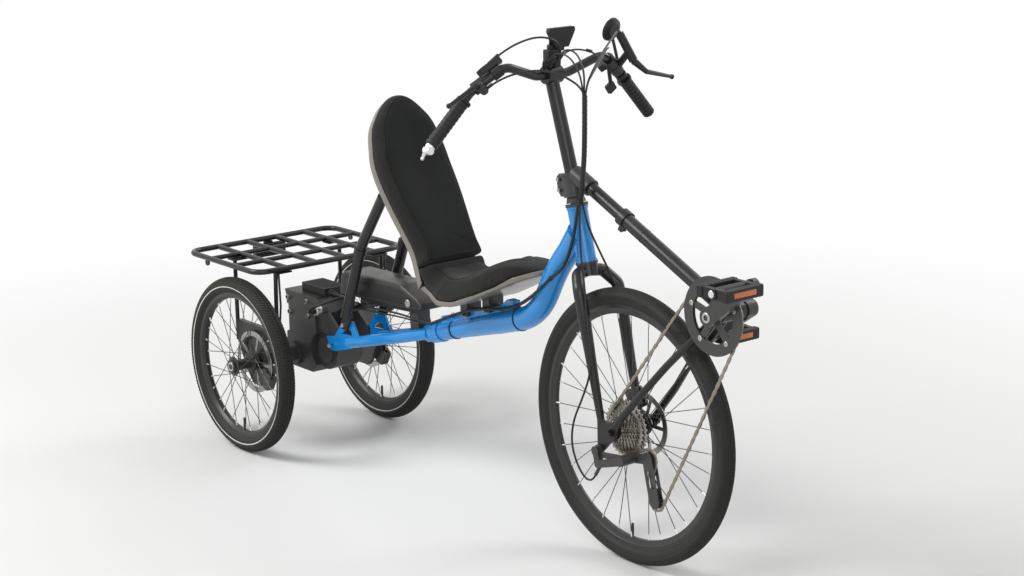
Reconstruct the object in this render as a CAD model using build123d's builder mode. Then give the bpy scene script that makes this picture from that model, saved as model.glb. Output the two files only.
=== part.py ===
"""Recumbent trike with one driven, steered front wheel and two rear wheels.

Millimetres. +X is forward, +Y the rider's left, +Z up. The origin is on the ground,
under the middle of the trike's length. Distances called "ahead" are measured
forward from the rear axle.
"""
from build123d import *
from math import acos, atan2, cos, degrees, hypot, pi, radians, sin
import os

os.makedirs("parts", exist_ok=True)

# Whole vehicle
rear_axle_x = -822.7
wheelbase = 1395.0
track = 486.0
rear_wheel_radius = 254.0
front_wheel_radius = 344.0
running_fit = 0.05
seat_gap = 0.3

# Steering head, given at its lower end; the fork crown passes over the front tyre
head_set_back = 163.0
crown_clearance = 35.0
head_low_ahead = wheelbase - head_set_back
head_low_height = 2 * front_wheel_radius + crown_clearance
head_lean = 14.4
head_length = 145.0
head_radius = 25.0
steerer_radius = 14.95

# Bottom bracket, counted from the front axle, with its cranks and pedals
bracket_reach = 328.0
bracket_rise = 349.0
bracket_ahead = wheelbase + bracket_reach
bracket_height = front_wheel_radius + bracket_rise
crank_length = 170.0
crank_rise = 36.0
crank_inner = 58.0
crank_thickness = 15.0


def spot(ahead, left, up):
    """A point ahead of the rear axle, left of the middle and above the ground."""
    return (rear_axle_x + ahead, left, up)


def side_plane(left):
    """The side view at a distance left of the middle: local X is ahead, local Y is up."""
    return Plane(origin=(rear_axle_x, left, 0), x_dir=(1, 0, 0), z_dir=(0, -1, 0))


def tube(points, radius, bends=None, mode=Mode.ADD):
    """A round tube through the points, with one bend radius for each corner."""
    with BuildLine() as route:
        if bends is None:
            Polyline(*points)
        else:
            FilletPolyline(*points, radius=bends)
    with BuildSketch(Plane(origin=route.line @ 0, z_dir=route.line % 0)) as section:
        Circle(radius)
    sweep(section.sketch, path=route.line, mode=mode)


def rod(start, end, radius, mode=Mode.ADD):
    """A straight round bar, or with Mode.SUBTRACT a straight bore."""
    run = Vector(*end) - Vector(*start)
    with BuildSketch(Plane(origin=start, z_dir=run)) as section:
        Circle(radius)
    extrude(section.sketch, amount=run.length, mode=mode)


def taper(start, end, start_radius, end_radius):
    """A straight round piece whose radius changes evenly from start to end."""
    along = Plane(origin=start, z_dir=Vector(*end) - Vector(*start))
    length = (Vector(*end) - Vector(*start)).length
    with BuildSketch(along) as near:
        Circle(start_radius)
    with BuildSketch(along.offset(length)) as far:
        Circle(end_radius)
    loft([near.sketch, far.sketch])


def turned(centre, outline, outward=1, mode=Mode.ADD):
    """A ring turned about a cross axle from (outward distance, radius) corners."""
    half_section = Plane(origin=centre, x_dir=(0, outward, 0), z_dir=(outward, 0, 0))
    with BuildSketch(half_section) as section:
        with BuildLine():
            Polyline(*outline, close=True)
        make_face()
    revolve(section.sketch, axis=Axis(centre, (0, 1, 0)), mode=mode)


def plate(outline, left, thickness, mode=Mode.ADD):
    """A flat plate in the side view, centred on a distance left of the middle."""
    with BuildSketch(side_plane(left)) as section:
        with BuildLine():
            Polyline(*outline, close=True)
        make_face()
    extrude(section.sketch, amount=thickness / 2, both=True, mode=mode)


def box(low, high, mode=Mode.ADD):
    """A block between two opposite corners."""
    middle = Vector(*[(a + b) / 2 for a, b in zip(low, high)])
    size = [b - a for a, b in zip(low, high)]
    with Locations(middle):
        Box(*size, mode=mode)


def steering_point(up_axis, forward=0.0, left=0.0):
    """A point counted up the steering axis, then square to it forward and left."""
    lean = radians(head_lean)
    return spot(
        head_low_ahead - up_axis * sin(lean) + forward * cos(lean),
        left,
        head_low_height + up_axis * cos(lean) + forward * sin(lean),
    )


def from_head(ahead, left, up):
    """A point counted from the lower end of the head tube."""
    return spot(head_low_ahead + ahead, left, head_low_height + up)


def from_axle(ahead, left, up):
    """A point counted from the front axle."""
    return spot(wheelbase + ahead, left, front_wheel_radius + up)


def save(piece, name):
    """Label a finished piece and write it under its own name."""
    piece.part.label = name
    export_step(piece.part, f"parts/{name}.step")


front_axle = spot(wheelbase, 0, front_wheel_radius)
bracket = spot(bracket_ahead, 0, bracket_height)

# Main frame: head tube, bent main tube that swells forward, seat rail on top
rear_tube_radius = 25.5
front_tube_radius = 30.0
head_end_radius = 35.0
main_start = (605.0, 425.0)
main_rise = 0.293
main_knee = (head_low_ahead - 112, head_low_height - 33)
main_throat = (head_low_ahead - 57, head_low_height + 32)
main_head = (head_low_ahead - 23, head_low_height + 72)
blend_step = 0.4
sleeve_length = 40.0
sleeve_radius = 29.0
rail_half_width = 12.0
rail_front = (905.0, 557.0)
rail_back = (650.0, 481.0)


def main_point(place):
    return spot(place[0], 0, place[1])


def on_main_run(ahead):
    """A side-view point on the straight, rising rear run of the main tube."""
    return (ahead, main_start[1] + (ahead - main_start[0]) * main_rise)


main_swell = on_main_run(690.0)
main_full = on_main_run(head_low_ahead - 352)
main_bend = on_main_run(head_low_ahead - 187)


with BuildPart() as main_frame:
    rod(steering_point(0), steering_point(head_length), head_radius)
    for lip in (0.0, head_length - 10.0):
        rod(steering_point(lip), steering_point(lip + 10.0), head_radius + 2.0)
    rod(
        main_point(main_start),
        main_point((main_swell[0] + 4, main_swell[1] + 1.2)),
        rear_tube_radius,
    )
    taper(
        main_point(main_swell),
        main_point((main_full[0] + 4, main_full[1] + 1.2)),
        rear_tube_radius - blend_step,
        front_tube_radius - blend_step,
    )
    tube(
        [main_point(p) for p in (main_full, main_bend, main_knee, main_throat)],
        front_tube_radius,
        [180.0, 400.0],
    )
    taper(
        main_point((main_throat[0] - 4, main_throat[1] - 4.7)),
        main_point(main_head),
        front_tube_radius + blend_step,
        head_end_radius,
    )
    slope = atan2(main_swell[1] - main_start[1], main_swell[0] - main_start[0])
    sleeve_end = (
        main_start[0] + sleeve_length * cos(slope),
        main_start[1] + sleeve_length * sin(slope),
    )
    rod(main_point(main_start), main_point(sleeve_end), sleeve_radius)
    plate(
        [rail_back, rail_front, (930, 578), (956, 578), (948, 527), (650, 440)],
        0,
        2 * rail_half_width,
    )
    rod(
        steering_point(-5),
        steering_point(head_length + 5),
        steerer_radius + running_fit,
        mode=Mode.SUBTRACT,
    )
save(main_frame, "main_frame")

# Rear fork: two legs behind the main tube, end plates and the stay lugs
leg_radius = 16.0
leg_spread = 52.0
end_plate_thickness = 6.0
axle_bolt = (190.0, 316.0)
stay_bolt = (262.0, 389.0)

def leg_route(side):
    return [
        spot(main_start[0] - 14, side * 12, main_start[1] - 4),
        spot(main_start[0] - 105, side * 36, main_start[1] - 28),
        spot(268, side * leg_spread, 337),
    ]


with BuildPart() as rear_fork:
    rod(
        main_point((main_start[0] - seat_gap, main_start[1])),
        main_point((main_start[0] - 28, main_start[1] - 8)),
        24.0,
    )
    for side in (-1, 1):
        tube(leg_route(side), leg_radius, [200.0])
        plate(
            [
                (164, 338), (196, 343), (205, 346), (250, 400), (298, 404), (322, 362),
                (300, 340), (280, 322), (222, 306), (194, 299), (176, 304),
            ],
            side * (leg_spread + 3),
            end_plate_thickness,
        )
        plate(
            [(236, 358), (264, 377), (285, 378), (294, 362)],
            side * (leg_spread + 3),
            2 * end_plate_thickness,
            mode=Mode.SUBTRACT,
        )
        for hole in (axle_bolt, stay_bolt):
            rod(
                spot(hole[0], side * 30, hole[1]),
                spot(hole[0], side * 80, hole[1]),
                5.0,
                mode=Mode.SUBTRACT,
            )
save(rear_fork, "rear_fork")

# Seat stays: bent tubes from the rear fork's lugs up to the seat back
stay_left = 74.0
stay_radius = 15.0
stay_low = (287.0, 420.0)
stay_bend = (378.0, 640.0)
stay_top = (486.0, 790.0)
brace_place = (303.0, 444.0)
brace_radius = 8.0
plate_outer = leg_spread + 3 + end_plate_thickness / 2

with BuildPart() as seat_stays:
    for side in (-1, 1):
        tube(
            [
                spot(stay_low[0], side * stay_left, stay_low[1]),
                spot(stay_bend[0], side * stay_left, stay_bend[1]),
                spot(stay_top[0], side * stay_left, stay_top[1]),
            ],
            stay_radius,
            [220.0],
        )
        plate(
            [(250, 378), (274, 376), (300, 416), (296, 436), (280, 430), (250, 398)],
            side * (plate_outer + 0.05 + 4),
            8.0,
        )
        rod(
            spot(stay_bolt[0], side * 40, stay_bolt[1]),
            spot(stay_bolt[0], side * 90, stay_bolt[1]),
            5.0,
            mode=Mode.SUBTRACT,
        )
        rod(
            spot(stay_bend[0] - 10, side * stay_left, stay_bend[1] - 24),
            spot(stay_bend[0] - 4, side * stay_left, stay_bend[1] - 9.5),
            stay_radius + 3,
        )
    rod(
        spot(brace_place[0], -stay_left, brace_place[1]),
        spot(brace_place[0], stay_left, brace_place[1]),
        brace_radius,
    )
save(seat_stays, "seat_stays")

# Seat back: a moulded tray, open forwards. Its rear face in the side view, top to bottom:
back_curve = [(410.0, 1040.0), (488.0, 853.0), (630.0, 649.0), (664.0, 572.0)]
back_bends = [400.0, 300.0]
shell_wall = 4.0
back_flange = 40.0
back_depth = 66.0
back_lean = atan2(back_curve[3][0] - back_curve[0][0], back_curve[0][1] - back_curve[3][1])
back_face = Plane(
    origin=spot(back_curve[3][0], 0, back_curve[3][1]),
    x_dir=(0, 1, 0),
    z_dir=(cos(back_lean), 0, sin(back_lean)),
)
back_top = 521.0
# height up the back, half width
back_widths = [(100.0, 95.0), (237.0, 109.0), (333.0, 112.0), (383.0, 106.0), (460.0, 80.0)]
seat_foot_half = 99.0
hip_seam = 62.0

# Seat pan: its underside from back to front, and its half width seen from above
pan_curve = [(668.6, 572.0), (752.0, 542.0), (820.0, 552.0), (1076.0, 668.5)]
pan_bends = [60.0, 150.0]
pan_flange = 22.0
# ahead, half width
pan_widths = [
    (668.6, 93.0), (704.0, 93.5), (745.0, 103.0), (850.0, 106.0), (950.0, 104.0),
    (1015.0, 92.0), (1055.0, 70.0), (1073.0, 42.0),
]


def shifted(curve, bends, distance):
    """A side-view curve moved square to itself, towards its left, with its bend radii."""
    runs = [(Vector(*b) - Vector(*a)).normalized() for a, b in zip(curve, curve[1:])]
    sides = [Vector(-run.Y, run.X) for run in runs]
    moved = [Vector(*curve[0]) + sides[0] * distance]
    radii = []
    for corner, before, after, bend in zip(curve[1:-1], sides, sides[1:], bends):
        miter = (before + after) * (distance / (1 + before.dot(after)))
        moved.append(Vector(*corner) + miter)
        turns_left = before.cross(after).Z > 0
        radii.append(bend - distance if turns_left else bend + distance)
    moved.append(Vector(*curve[-1]) + sides[-1] * distance)
    return [(point.X, point.Y) for point in moved], radii


def band(curve, bends, low, high, half_width, mode=Mode.ADD):
    """The space between two distances off a side-view curve, out to both sides."""
    low_curve, low_bends = shifted(curve, bends, low)
    high_curve, high_bends = shifted(curve, bends, high)
    with BuildSketch(side_plane(0)) as section:
        with BuildLine():
            FilletPolyline(*low_curve, radius=low_bends)
            FilletPolyline(*high_curve, radius=high_bends)
            Line(low_curve[0], high_curve[0])
            Line(low_curve[-1], high_curve[-1])
        make_face()
    extrude(section.sketch, amount=half_width, both=True, mode=mode)


def back_outline(inset, foot):
    """Keep only what lies inside the seat back's outline, seen square on."""
    sides = [(half - inset, height) for height, half in back_widths]
    with BuildSketch(back_face) as section:
        with BuildLine():
            edge = Spline(
                (seat_foot_half - inset, -40),
                *sides,
                (0, back_top - inset),
                tangents=((0, 1), (-1, 0)),
            )
            mirror(edge, about=Plane.YZ)
            Line((inset - seat_foot_half, -40), (seat_foot_half - inset, -40))
        make_face()
        with Locations((0, foot - 200)):
            Rectangle(400, 400, mode=Mode.SUBTRACT)
    extrude(section.sketch, amount=150, both=True, mode=Mode.INTERSECT)


def pan_outline(inset, rear):
    """Keep only what lies inside the seat pan's outline, seen from above."""
    nose = pan_widths[-1]
    with BuildSketch(Plane(origin=spot(0, 0, 600))) as section:
        with BuildLine():
            edge = Spline(
                *[(ahead - (inset if ahead > 1000 else 0), half - inset)
                  for ahead, half in pan_widths[1:]]
            )
            Line((rear, pan_widths[0][1] - inset), edge @ 0)
            mirror(edge, about=Plane.XZ)
            Line((rear, inset - pan_widths[0][1]), (pan_widths[1][0], inset - pan_widths[1][1]))
            Line((rear, inset - pan_widths[0][1]), (rear, pan_widths[0][1] - inset))
            Line((nose[0] - inset, nose[1] - inset), (nose[0] - inset, inset - nose[1]))
        make_face()
    extrude(section.sketch, amount=200, both=True, mode=Mode.INTERSECT)


with BuildPart() as back_hollow:
    band(back_curve, back_bends, shell_wall, back_flange + 30, 150)
    back_outline(shell_wall, -30)

with BuildPart() as seat_back_shell:
    band(back_curve, back_bends, 0, back_flange, 150)
    back_outline(0, 0)
    add(back_hollow.part, mode=Mode.SUBTRACT)
save(seat_back_shell, "seat_back_shell")

with BuildPart() as pan_hollow:
    band(pan_curve, pan_bends, shell_wall, pan_flange + 20, 150)
    pan_outline(shell_wall, pan_curve[0][0] - 30)

with BuildPart() as seat_pan_shell:
    band(pan_curve, pan_bends, 0, pan_flange, 150)
    pan_outline(0, pan_curve[0][0] - 20)
    add(pan_hollow.part, mode=Mode.SUBTRACT)
save(seat_pan_shell, "seat_pan_shell")

# Back cushion: fills the tray and stands out in front of it
with BuildPart() as back_cushion:
    band(back_curve, back_bends, shell_wall + seat_gap, back_depth, 150)
    back_outline(shell_wall + seat_gap, hip_seam)
save(back_cushion, "back_cushion")

# Pan cushion: dished for the rider, with a corner that rises under the back cushion
with BuildPart() as pan_cushion:
    floor_curve, floor_bends = shifted(pan_curve, pan_bends, shell_wall + seat_gap)
    with BuildSketch(side_plane(0)):
        with BuildLine():
            FilletPolyline(*floor_curve, radius=floor_bends)
            Spline(
                floor_curve[-1], (1066, 686), (1000, 690), (900, 655), (770, 621), (705, 644),
                tangents=((0.1, 1), (-0.9, 0.45)),
            )
            Line((705, 644), (640, 644))
            Line((640, 644), floor_curve[0])
        make_face()
    extrude(amount=150, both=True)
    pan_outline(shell_wall + seat_gap, pan_curve[0][0] - 60)
    band(back_curve, back_bends, -80, shell_wall + seat_gap, 150, mode=Mode.SUBTRACT)
    with BuildSketch(back_face):
        with Locations((0, hip_seam - seat_gap + 200)):
            Rectangle(400, 400)
    extrude(amount=200, both=True, mode=Mode.SUBTRACT)
save(pan_cushion, "pan_cushion")

# Seat clamps: two saddles on the frame's rail that carry the pan
# ahead, height of the rail's top there
clamp_places = [(764.0, 515.0), (858.0, 543.0)]
clamp_half_length = 14.0
clamp_half_width = 24.0

with BuildPart() as seat_clamps:
    for ahead, rail_top in clamp_places:
        box(
            spot(ahead - clamp_half_length, -clamp_half_width, rail_top - 10),
            spot(ahead + clamp_half_length, clamp_half_width, rail_top + 60),
        )
    rail_slope = (rail_front[1] - rail_back[1]) / (rail_front[0] - rail_back[0])
    rail_rise = seat_gap * hypot(1, rail_slope)
    plate(
        [
            (rail_back[0], rail_back[1] + rail_rise),
            (rail_front[0], rail_front[1] + rail_rise),
            (rail_front[0], 420),
            (rail_back[0], 420),
        ],
        0,
        2 * (rail_half_width + seat_gap),
        mode=Mode.SUBTRACT,
    )
    band(pan_curve, pan_bends, -seat_gap, 60, 60, mode=Mode.SUBTRACT)
    for ahead, rail_top in clamp_places:
        rod(
            spot(ahead, -clamp_half_width - 6, rail_top - 5),
            spot(ahead, -rail_half_width - 1, rail_top - 5),
            4.0,
        )
        rod(
            spot(ahead, rail_half_width + 1, rail_top - 5),
            spot(ahead, clamp_half_width + 4, rail_top - 5),
            4.0,
        )
save(seat_clamps, "seat_clamps")

# Battery, and the bar that carries it above the rear fork
battery_half_width = 45.0
battery_low_rear = (214.0, 466.0)
battery_low_front = (601.0, 487.0)
bar_half_width = 20.0
bar_rear = 285.0
bar_front = 556.0
bar_thickness = 14.0
battery_slope = (battery_low_front[1] - battery_low_rear[1]) / (
    battery_low_front[0] - battery_low_rear[0]
)


def under_battery(ahead):
    return battery_low_rear[1] + (ahead - battery_low_rear[0]) * battery_slope - seat_gap


with BuildPart() as battery:
    plate(
        [
            battery_low_rear, battery_low_front, (606, 505), (585, 520),
            (509, 548), (247, 541), (225, 530),
        ],
        0,
        2 * battery_half_width,
    )
    chamfer(battery.edges().group_by(Axis.Z)[-1], 6)
    rod(
        spot(546, -battery_half_width - 3, 502),
        spot(546, -battery_half_width + 1, 502),
        11.0,
    )
save(battery, "battery")

with BuildPart() as battery_mount:
    plate(
        [
            (bar_rear, under_battery(bar_rear)),
            (bar_front, under_battery(bar_front)),
            (bar_front, 404),
            (bar_front - 34, 400),
            (bar_front - 40, under_battery(bar_front) - bar_thickness - 2),
            (bar_rear + 34, under_battery(bar_rear) - bar_thickness),
            (bar_rear + 28, 442),
            (bar_rear, 442),
        ],
        0,
        2 * bar_half_width,
    )
    for side in (-1, 1):
        tube(leg_route(side), leg_radius + seat_gap, [200.0], mode=Mode.SUBTRACT)
    rod(
        spot(brace_place[0], -60, brace_place[1]),
        spot(brace_place[0], 60, brace_place[1]),
        brace_radius + seat_gap,
        mode=Mode.SUBTRACT,
    )
save(battery_mount, "battery_mount")

# Drive housing between the rear wheels: side plates over a wider gear case
side_plate_outer = leg_spread - seat_gap
side_plate_thickness = 8.0
case_half_width = 60.0
motor_place = (139.0, 287.0)
motor_radius = 55.0
housing_top = 436.0

with BuildPart() as drive_housing:
    for side in (-1, 1):
        plate(
            [
                (-56, housing_top), (100, housing_top), (165, 405), (222, 360), (222, 305),
                (178, 305), (160, 330), (100, 330), (100, 300), (-40, 300), (-40, 395),
            ],
            side * (side_plate_outer - side_plate_thickness / 2),
            side_plate_thickness,
        )
        for bolt in ((-36, 415), (61, 419), (-29, 373), (67, 376)):
            rod(
                spot(bolt[0], side * (side_plate_outer - 1), bolt[1]),
                spot(bolt[0], side * (side_plate_outer + 5), bolt[1]),
                6.5,
            )
    plate(
        [(-40, 235), (-40, 313), (112, 387), (112, 240), (90, 215), (-20, 215)],
        0,
        2 * case_half_width,
    )
    box(spot(-56, -47, housing_top - 8), spot(100, 47, housing_top))
    box(spot(-56, -47, 392), spot(-48, 47, housing_top))
    rod(spot(149, -side_plate_outer + 2, 412), spot(149, -86, 412), 12.5)
    rod(
        spot(motor_place[0], -case_half_width - 1, motor_place[1]),
        spot(motor_place[0], case_half_width + 1, motor_place[1]),
        motor_radius + seat_gap,
        mode=Mode.SUBTRACT,
    )
save(drive_housing, "drive_housing")

with BuildPart() as motor:
    motor_half = side_plate_outer - side_plate_thickness - seat_gap
    rod(
        spot(motor_place[0], -motor_half, motor_place[1]),
        spot(motor_place[0], motor_half, motor_place[1]),
        motor_radius,
    )
    for side in (-1, 1):
        rod(
            spot(motor_place[0], side * (motor_half - 1), motor_place[1]),
            spot(motor_place[0], side * (motor_half + 6), motor_place[1]),
            motor_radius - 18,
        )
save(motor, "motor")

# Motor controller on the housing: a ribbed lid, and the plug where the cables go in
controller_length = 120.0
controller_right = -30.0
controller_left = 45.0
controller_top = housing_top + 26
plug_left = -14.0
plug_height = housing_top + 13

with BuildPart() as controller_box:
    box(
        spot(0, controller_right, housing_top + seat_gap),
        spot(controller_length, controller_left, controller_top),
    )
    fillet(controller_box.edges().filter_by(Axis.Z), 5)
    for groove in range(9):
        left = controller_right + 8 + groove * 7.4
        box(
            spot(8, left - 1.7, controller_top - 4),
            spot(controller_length - 8, left + 1.7, controller_top + 1),
            mode=Mode.SUBTRACT,
        )
    # from, to (ahead of the box's front), radius
    for near, far, radius in ((-1, 24, 8.5), (6, 12, 10.5), (17, 23, 10.5)):
        rod(
            spot(controller_length + near, plug_left, plug_height),
            spot(controller_length + far, plug_left, plug_height),
            radius,
        )
    taper(
        spot(controller_length + 23, plug_left, plug_height),
        spot(controller_length + 58, plug_left, plug_height),
        8.5,
        3.5,
    )
save(controller_box, "controller_box")

# Rear axle: a short tube each side, the upright plate and the stub the wheel turns on
axle_tube_radius = 20.0
upright_inner = 172.0
upright_outer = 188.0
stub_radius = 8.5
hub_outer = 281.0

with BuildPart() as axle_beam:
    for side in (-1, 1):
        rod(
            spot(0, side * (case_half_width + seat_gap), rear_wheel_radius),
            spot(0, side * (upright_inner + 2), rear_wheel_radius),
            axle_tube_radius,
        )
        rod(
            spot(0, side * (case_half_width + seat_gap), rear_wheel_radius),
            spot(0, side * (case_half_width + 9), rear_wheel_radius),
            axle_tube_radius + 14,
        )
        plate(
            [
                (-105, 358), (105, 358), (105, 300), (60, 215), (30, 180),
                (-30, 180), (-60, 215), (-105, 292),
            ],
            side * (upright_inner + upright_outer) / 2,
            upright_outer - upright_inner,
        )
        rod(
            spot(0, side * (upright_outer - 2), rear_wheel_radius),
            spot(0, side * (hub_outer + 1), rear_wheel_radius),
            stub_radius,
        )
save(axle_beam, "axle_beam")

# Wheels: rim, hub and crossed spokes turn about the Y axis; the tyre is a ring round the rim
spoke_half = 1.1
spoke_count = 32


def spokes(centre, lace):
    """Crossed spokes from (left, radius) on two flanges to (left, radius) on the rim."""
    planes = []
    for index in range(spoke_count):
        (hub_left, hub_radius), (rim_left, rim_radius) = lace[index % 2]
        turn = 2 * pi * index / spoke_count
        sweep_back = radians(62) if (index // 2) % 2 else -radians(62)
        foot = Vector(
            centre[0] + hub_radius * cos(turn + sweep_back),
            centre[1] + hub_left,
            centre[2] + hub_radius * sin(turn + sweep_back),
        )
        tip = Vector(
            centre[0] + rim_radius * cos(turn),
            centre[1] + rim_left,
            centre[2] + rim_radius * sin(turn),
        )
        planes.append(((tip - foot).length, Plane(origin=foot, z_dir=tip - foot)))
    for flange in (0, 1):
        length = planes[flange][0]
        with Locations(*[place for _, place in planes[flange::2]]):
            Box(
                2 * spoke_half, 2 * spoke_half, length,
                align=(Align.CENTER, Align.CENTER, Align.MIN),
            )


def tyre_section(half_width, bead_radius, tyre_radius):
    """Corners of a tyre's section as (left, radius)."""
    tall = tyre_radius - bead_radius
    right_half = [
        (0.38, 0.0), (0.62, 0.14), (0.95, 0.42), (1.0, 0.58), (0.88, 0.82), (0.55, 0.96),
    ]
    right = [(half_width * a, bead_radius + tall * b) for a, b in right_half]
    left = [(-a, b) for a, b in reversed(right)]
    return right + [(0.0, tyre_radius)] + left


def rim_section(half_width, inner_radius, bead_radius):
    """Corners of a rim's section as (left, radius)."""
    return [
        (-half_width, bead_radius), (-half_width, bead_radius - 6),
        (-half_width * 0.4, inner_radius), (half_width * 0.4, inner_radius),
        (half_width, bead_radius - 6), (half_width, bead_radius),
    ]


def rotor_disc(centre, outward, near, thickness, radius, bore):
    """A brake disc: friction ring, five arms and a centre ring."""
    face = Plane(
        origin=(centre[0], centre[1] + outward * near, centre[2]),
        x_dir=(1, 0, 0),
        z_dir=(0, outward, 0),
    )
    with BuildSketch(face) as section:
        Circle(radius)
        Circle(radius - 15, mode=Mode.SUBTRACT)
        with PolarLocations((radius - 15 + bore) / 2, 5):
            Rectangle(radius - 11 - bore, 9)
        Circle(bore + 9)
        Circle(bore, mode=Mode.SUBTRACT)
    extrude(section.sketch, amount=thickness)


rear_bead = 206.0
rear_rim_inner = 193.0
rear_tyre_half = 26.0
rear_rotor_near = 199.0
rotor_thickness = 2.0
rear_rotor_radius = 90.0
rear_boss_radius = 22.0
hub_inner = 194.0

for name, side in (("right", -1), ("left", 1)):
    centre = spot(0, side * track / 2, rear_wheel_radius)
    middle = track / 2
    with BuildPart() as rear_tyre:
        turned(centre, tyre_section(rear_tyre_half, rear_bead + seat_gap, rear_wheel_radius))
    save(rear_tyre, f"rear_tyre_{name}")
    with BuildPart() as rear_wheel:
        turned(centre, rim_section(13.0, rear_rim_inner, rear_bead))
        turned(
            centre,
            [
                (hub_inner - middle, stub_radius + running_fit),
                (hub_inner - middle, rear_boss_radius),
                (rear_rotor_near - 1 - middle, rear_boss_radius),
                (rear_rotor_near - 1 - middle, 18), (212 - middle, 18), (212 - middle, 30),
                (216 - middle, 30), (220 - middle, 16), (264 - middle, 16), (268 - middle, 28),
                (272 - middle, 28), (274 - middle, 19), (hub_outer - middle, 17),
                (hub_outer - middle, stub_radius + running_fit),
            ],
            outward=side,
        )
        spokes(
            centre,
            [((side * -29, 27), (side * -4, 196)), ((side * 27, 25), (side * 4, 196))],
        )
    save(rear_wheel, f"rear_wheel_{name}")
    with BuildPart() as rear_rotor:
        rotor_disc(
            spot(0, 0, rear_wheel_radius), side, rear_rotor_near, rotor_thickness,
            rear_rotor_radius, 18 + running_fit,
        )
    save(rear_rotor, f"rear_rotor_{name}")

# Calipers straddle their discs, each on a plane that looks along its disc's radius


def caliper(centre, angle, inner, disc_low, disc_high, outer, disc_radius, slot):
    """Two cheeks beside a disc, joined outside its edge; sides are given as left."""
    out = (cos(radians(angle)), 0, sin(radians(angle)))
    face = Plane(origin=centre, x_dir=out, z_dir=(0, 1, 0))
    reach = disc_radius + slot
    for low, high in ((inner, disc_low - slot), (disc_high + slot, outer)):
        with BuildSketch(face.offset(min(low, high))) as cheek:
            with Locations((disc_radius - 14, 0)):
                RectangleRounded(52, 46, 9)
        extrude(cheek.sketch, amount=abs(high - low))
    with BuildSketch(face.offset(min(inner, outer))) as bridge:
        with Locations((reach + 4, 0)):
            Rectangle(8, 40)
    extrude(bridge.sketch, amount=abs(outer - inner))


with BuildPart() as rear_calipers:
    caliper(
        spot(0, 0, rear_wheel_radius), -30, upright_outer + seat_gap, rear_rotor_near,
        rear_rotor_near + rotor_thickness, 212, rear_rotor_radius, 3.5,
    )
    mirror(about=Plane.XZ)
save(rear_calipers, "rear_calipers")

# Luggage rack over the rear axle
rack_height = 543.0
rack_radius = 8.0
rack_rear = -255.0
rack_front = 117.0
rack_half = 250.0
rack_corner = 40.0
rack_bars = (-150.0, -50.0, 50.0, 150.0)
rack_crossbars = (-131.0, -8.0)
rack_leg_left = 182.0
rack_leg_radius = 6.0
eyelet_ahead = -150.0
eyelet_radius = 9.0
eyelet_bore = 3.2
eyelet_thickness = 5.0

with BuildPart() as rack_deck:
    tube(
        [
            spot(rack_rear, -8, rack_height),
            spot(rack_rear, -rack_half, rack_height),
            spot(rack_front, -rack_half, rack_height),
            spot(rack_front, rack_half, rack_height),
            spot(rack_rear, rack_half, rack_height),
            spot(rack_rear, 8, rack_height),
        ],
        rack_radius,
        [rack_corner] * 4,
    )
    rod(
        spot(rack_rear, -9, rack_height),
        spot(rack_rear, 9, rack_height),
        rack_radius - 0.1,
    )
    for left in rack_bars:
        rod(
            spot(rack_rear, left, rack_height),
            spot(rack_front, left, rack_height),
            rack_radius - 0.5,
        )
    for ahead in rack_crossbars:
        rod(
            spot(ahead, -rack_half, rack_height),
            spot(ahead, rack_half, rack_height),
            rack_radius - 1,
        )
    for side in (-1, 1):
        eyelet_height = rack_height - rack_radius - eyelet_radius + 3
        with BuildSketch(side_plane(side * rack_half)) as eyelet:
            with Locations((eyelet_ahead, eyelet_height)):
                Circle(eyelet_radius)
            with Locations((eyelet_ahead, rack_height - rack_radius + 2)):
                Rectangle(2 * eyelet_radius, 6)
            with Locations((eyelet_ahead, eyelet_height)):
                Circle(eyelet_bore, mode=Mode.SUBTRACT)
        extrude(eyelet.sketch, amount=eyelet_thickness / 2, both=True)
save(rack_deck, "rack_deck")

leg_top = rack_height - rack_radius - seat_gap
with BuildPart() as rack_legs:
    for side in (-1, 1):
        low, high = sorted((side * 140, side * 190))
        rear_leg = -105 - seat_gap - rack_leg_radius
        rod(
            spot(rear_leg, side * rack_leg_left, 296),
            spot(rear_leg, side * rack_leg_left, leg_top),
            rack_leg_radius,
        )
        rod(
            spot(98, side * rack_leg_left, 358 + seat_gap),
            spot(104, side * rack_leg_left, leg_top),
            rack_leg_radius,
        )
        box(spot(-139, low, leg_top - 4), spot(-103, high, leg_top))
        box(spot(92, low, leg_top - 4), spot(125, high, leg_top))
        tube(
            [
                spot(120, side * rack_leg_left, leg_top - 2),
                spot(124, side * rack_leg_left, 440),
                spot(108.5, side * rack_leg_left, 330),
            ],
            3.0,
            [60.0],
        )
save(rack_legs, "rack_legs")

# Tail lamp under the rack's rear tube: a black tray, its lens and the strap that holds it
lamp_low = rack_height - 52
lamp_high = rack_height - 14
lamp_right = -31.0
lamp_left = 74.0

with BuildPart() as tail_lamp:
    box(spot(-255, lamp_right, lamp_low), spot(-237, lamp_left, lamp_high))
    fillet(tail_lamp.edges().filter_by(Axis.X), 6)
    chamfer(tail_lamp.faces().sort_by(Axis.X)[-1].edges(), 2)
    box(spot(-263, lamp_right + 4, lamp_low + 4), spot(-253, lamp_left - 4, lamp_high - 4))
    fillet(tail_lamp.faces().sort_by(Axis.X)[0].edges(), 3)
    box(spot(-258, 8, lamp_high - 9), spot(-246, 34, leg_top))
save(tail_lamp, "tail_lamp")

# Fork: steerer through the head tube, crown, tapered blades, end plates and the axle
blade_left = 62.0
blade_top_radius = 15.5
blade_low_radius = 9.0
axle_radius = 5.0
end_left = 62.0
end_thickness = 6.0
blade_shoulder = (head_low_ahead + 59, head_low_height - 113)
blade_low = (wheelbase - 43, front_wheel_radius + 14)
axle_end = 84.0
steerer_top = 195.0
hanger_place = (wheelbase - 45, front_wheel_radius - 54)

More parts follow.
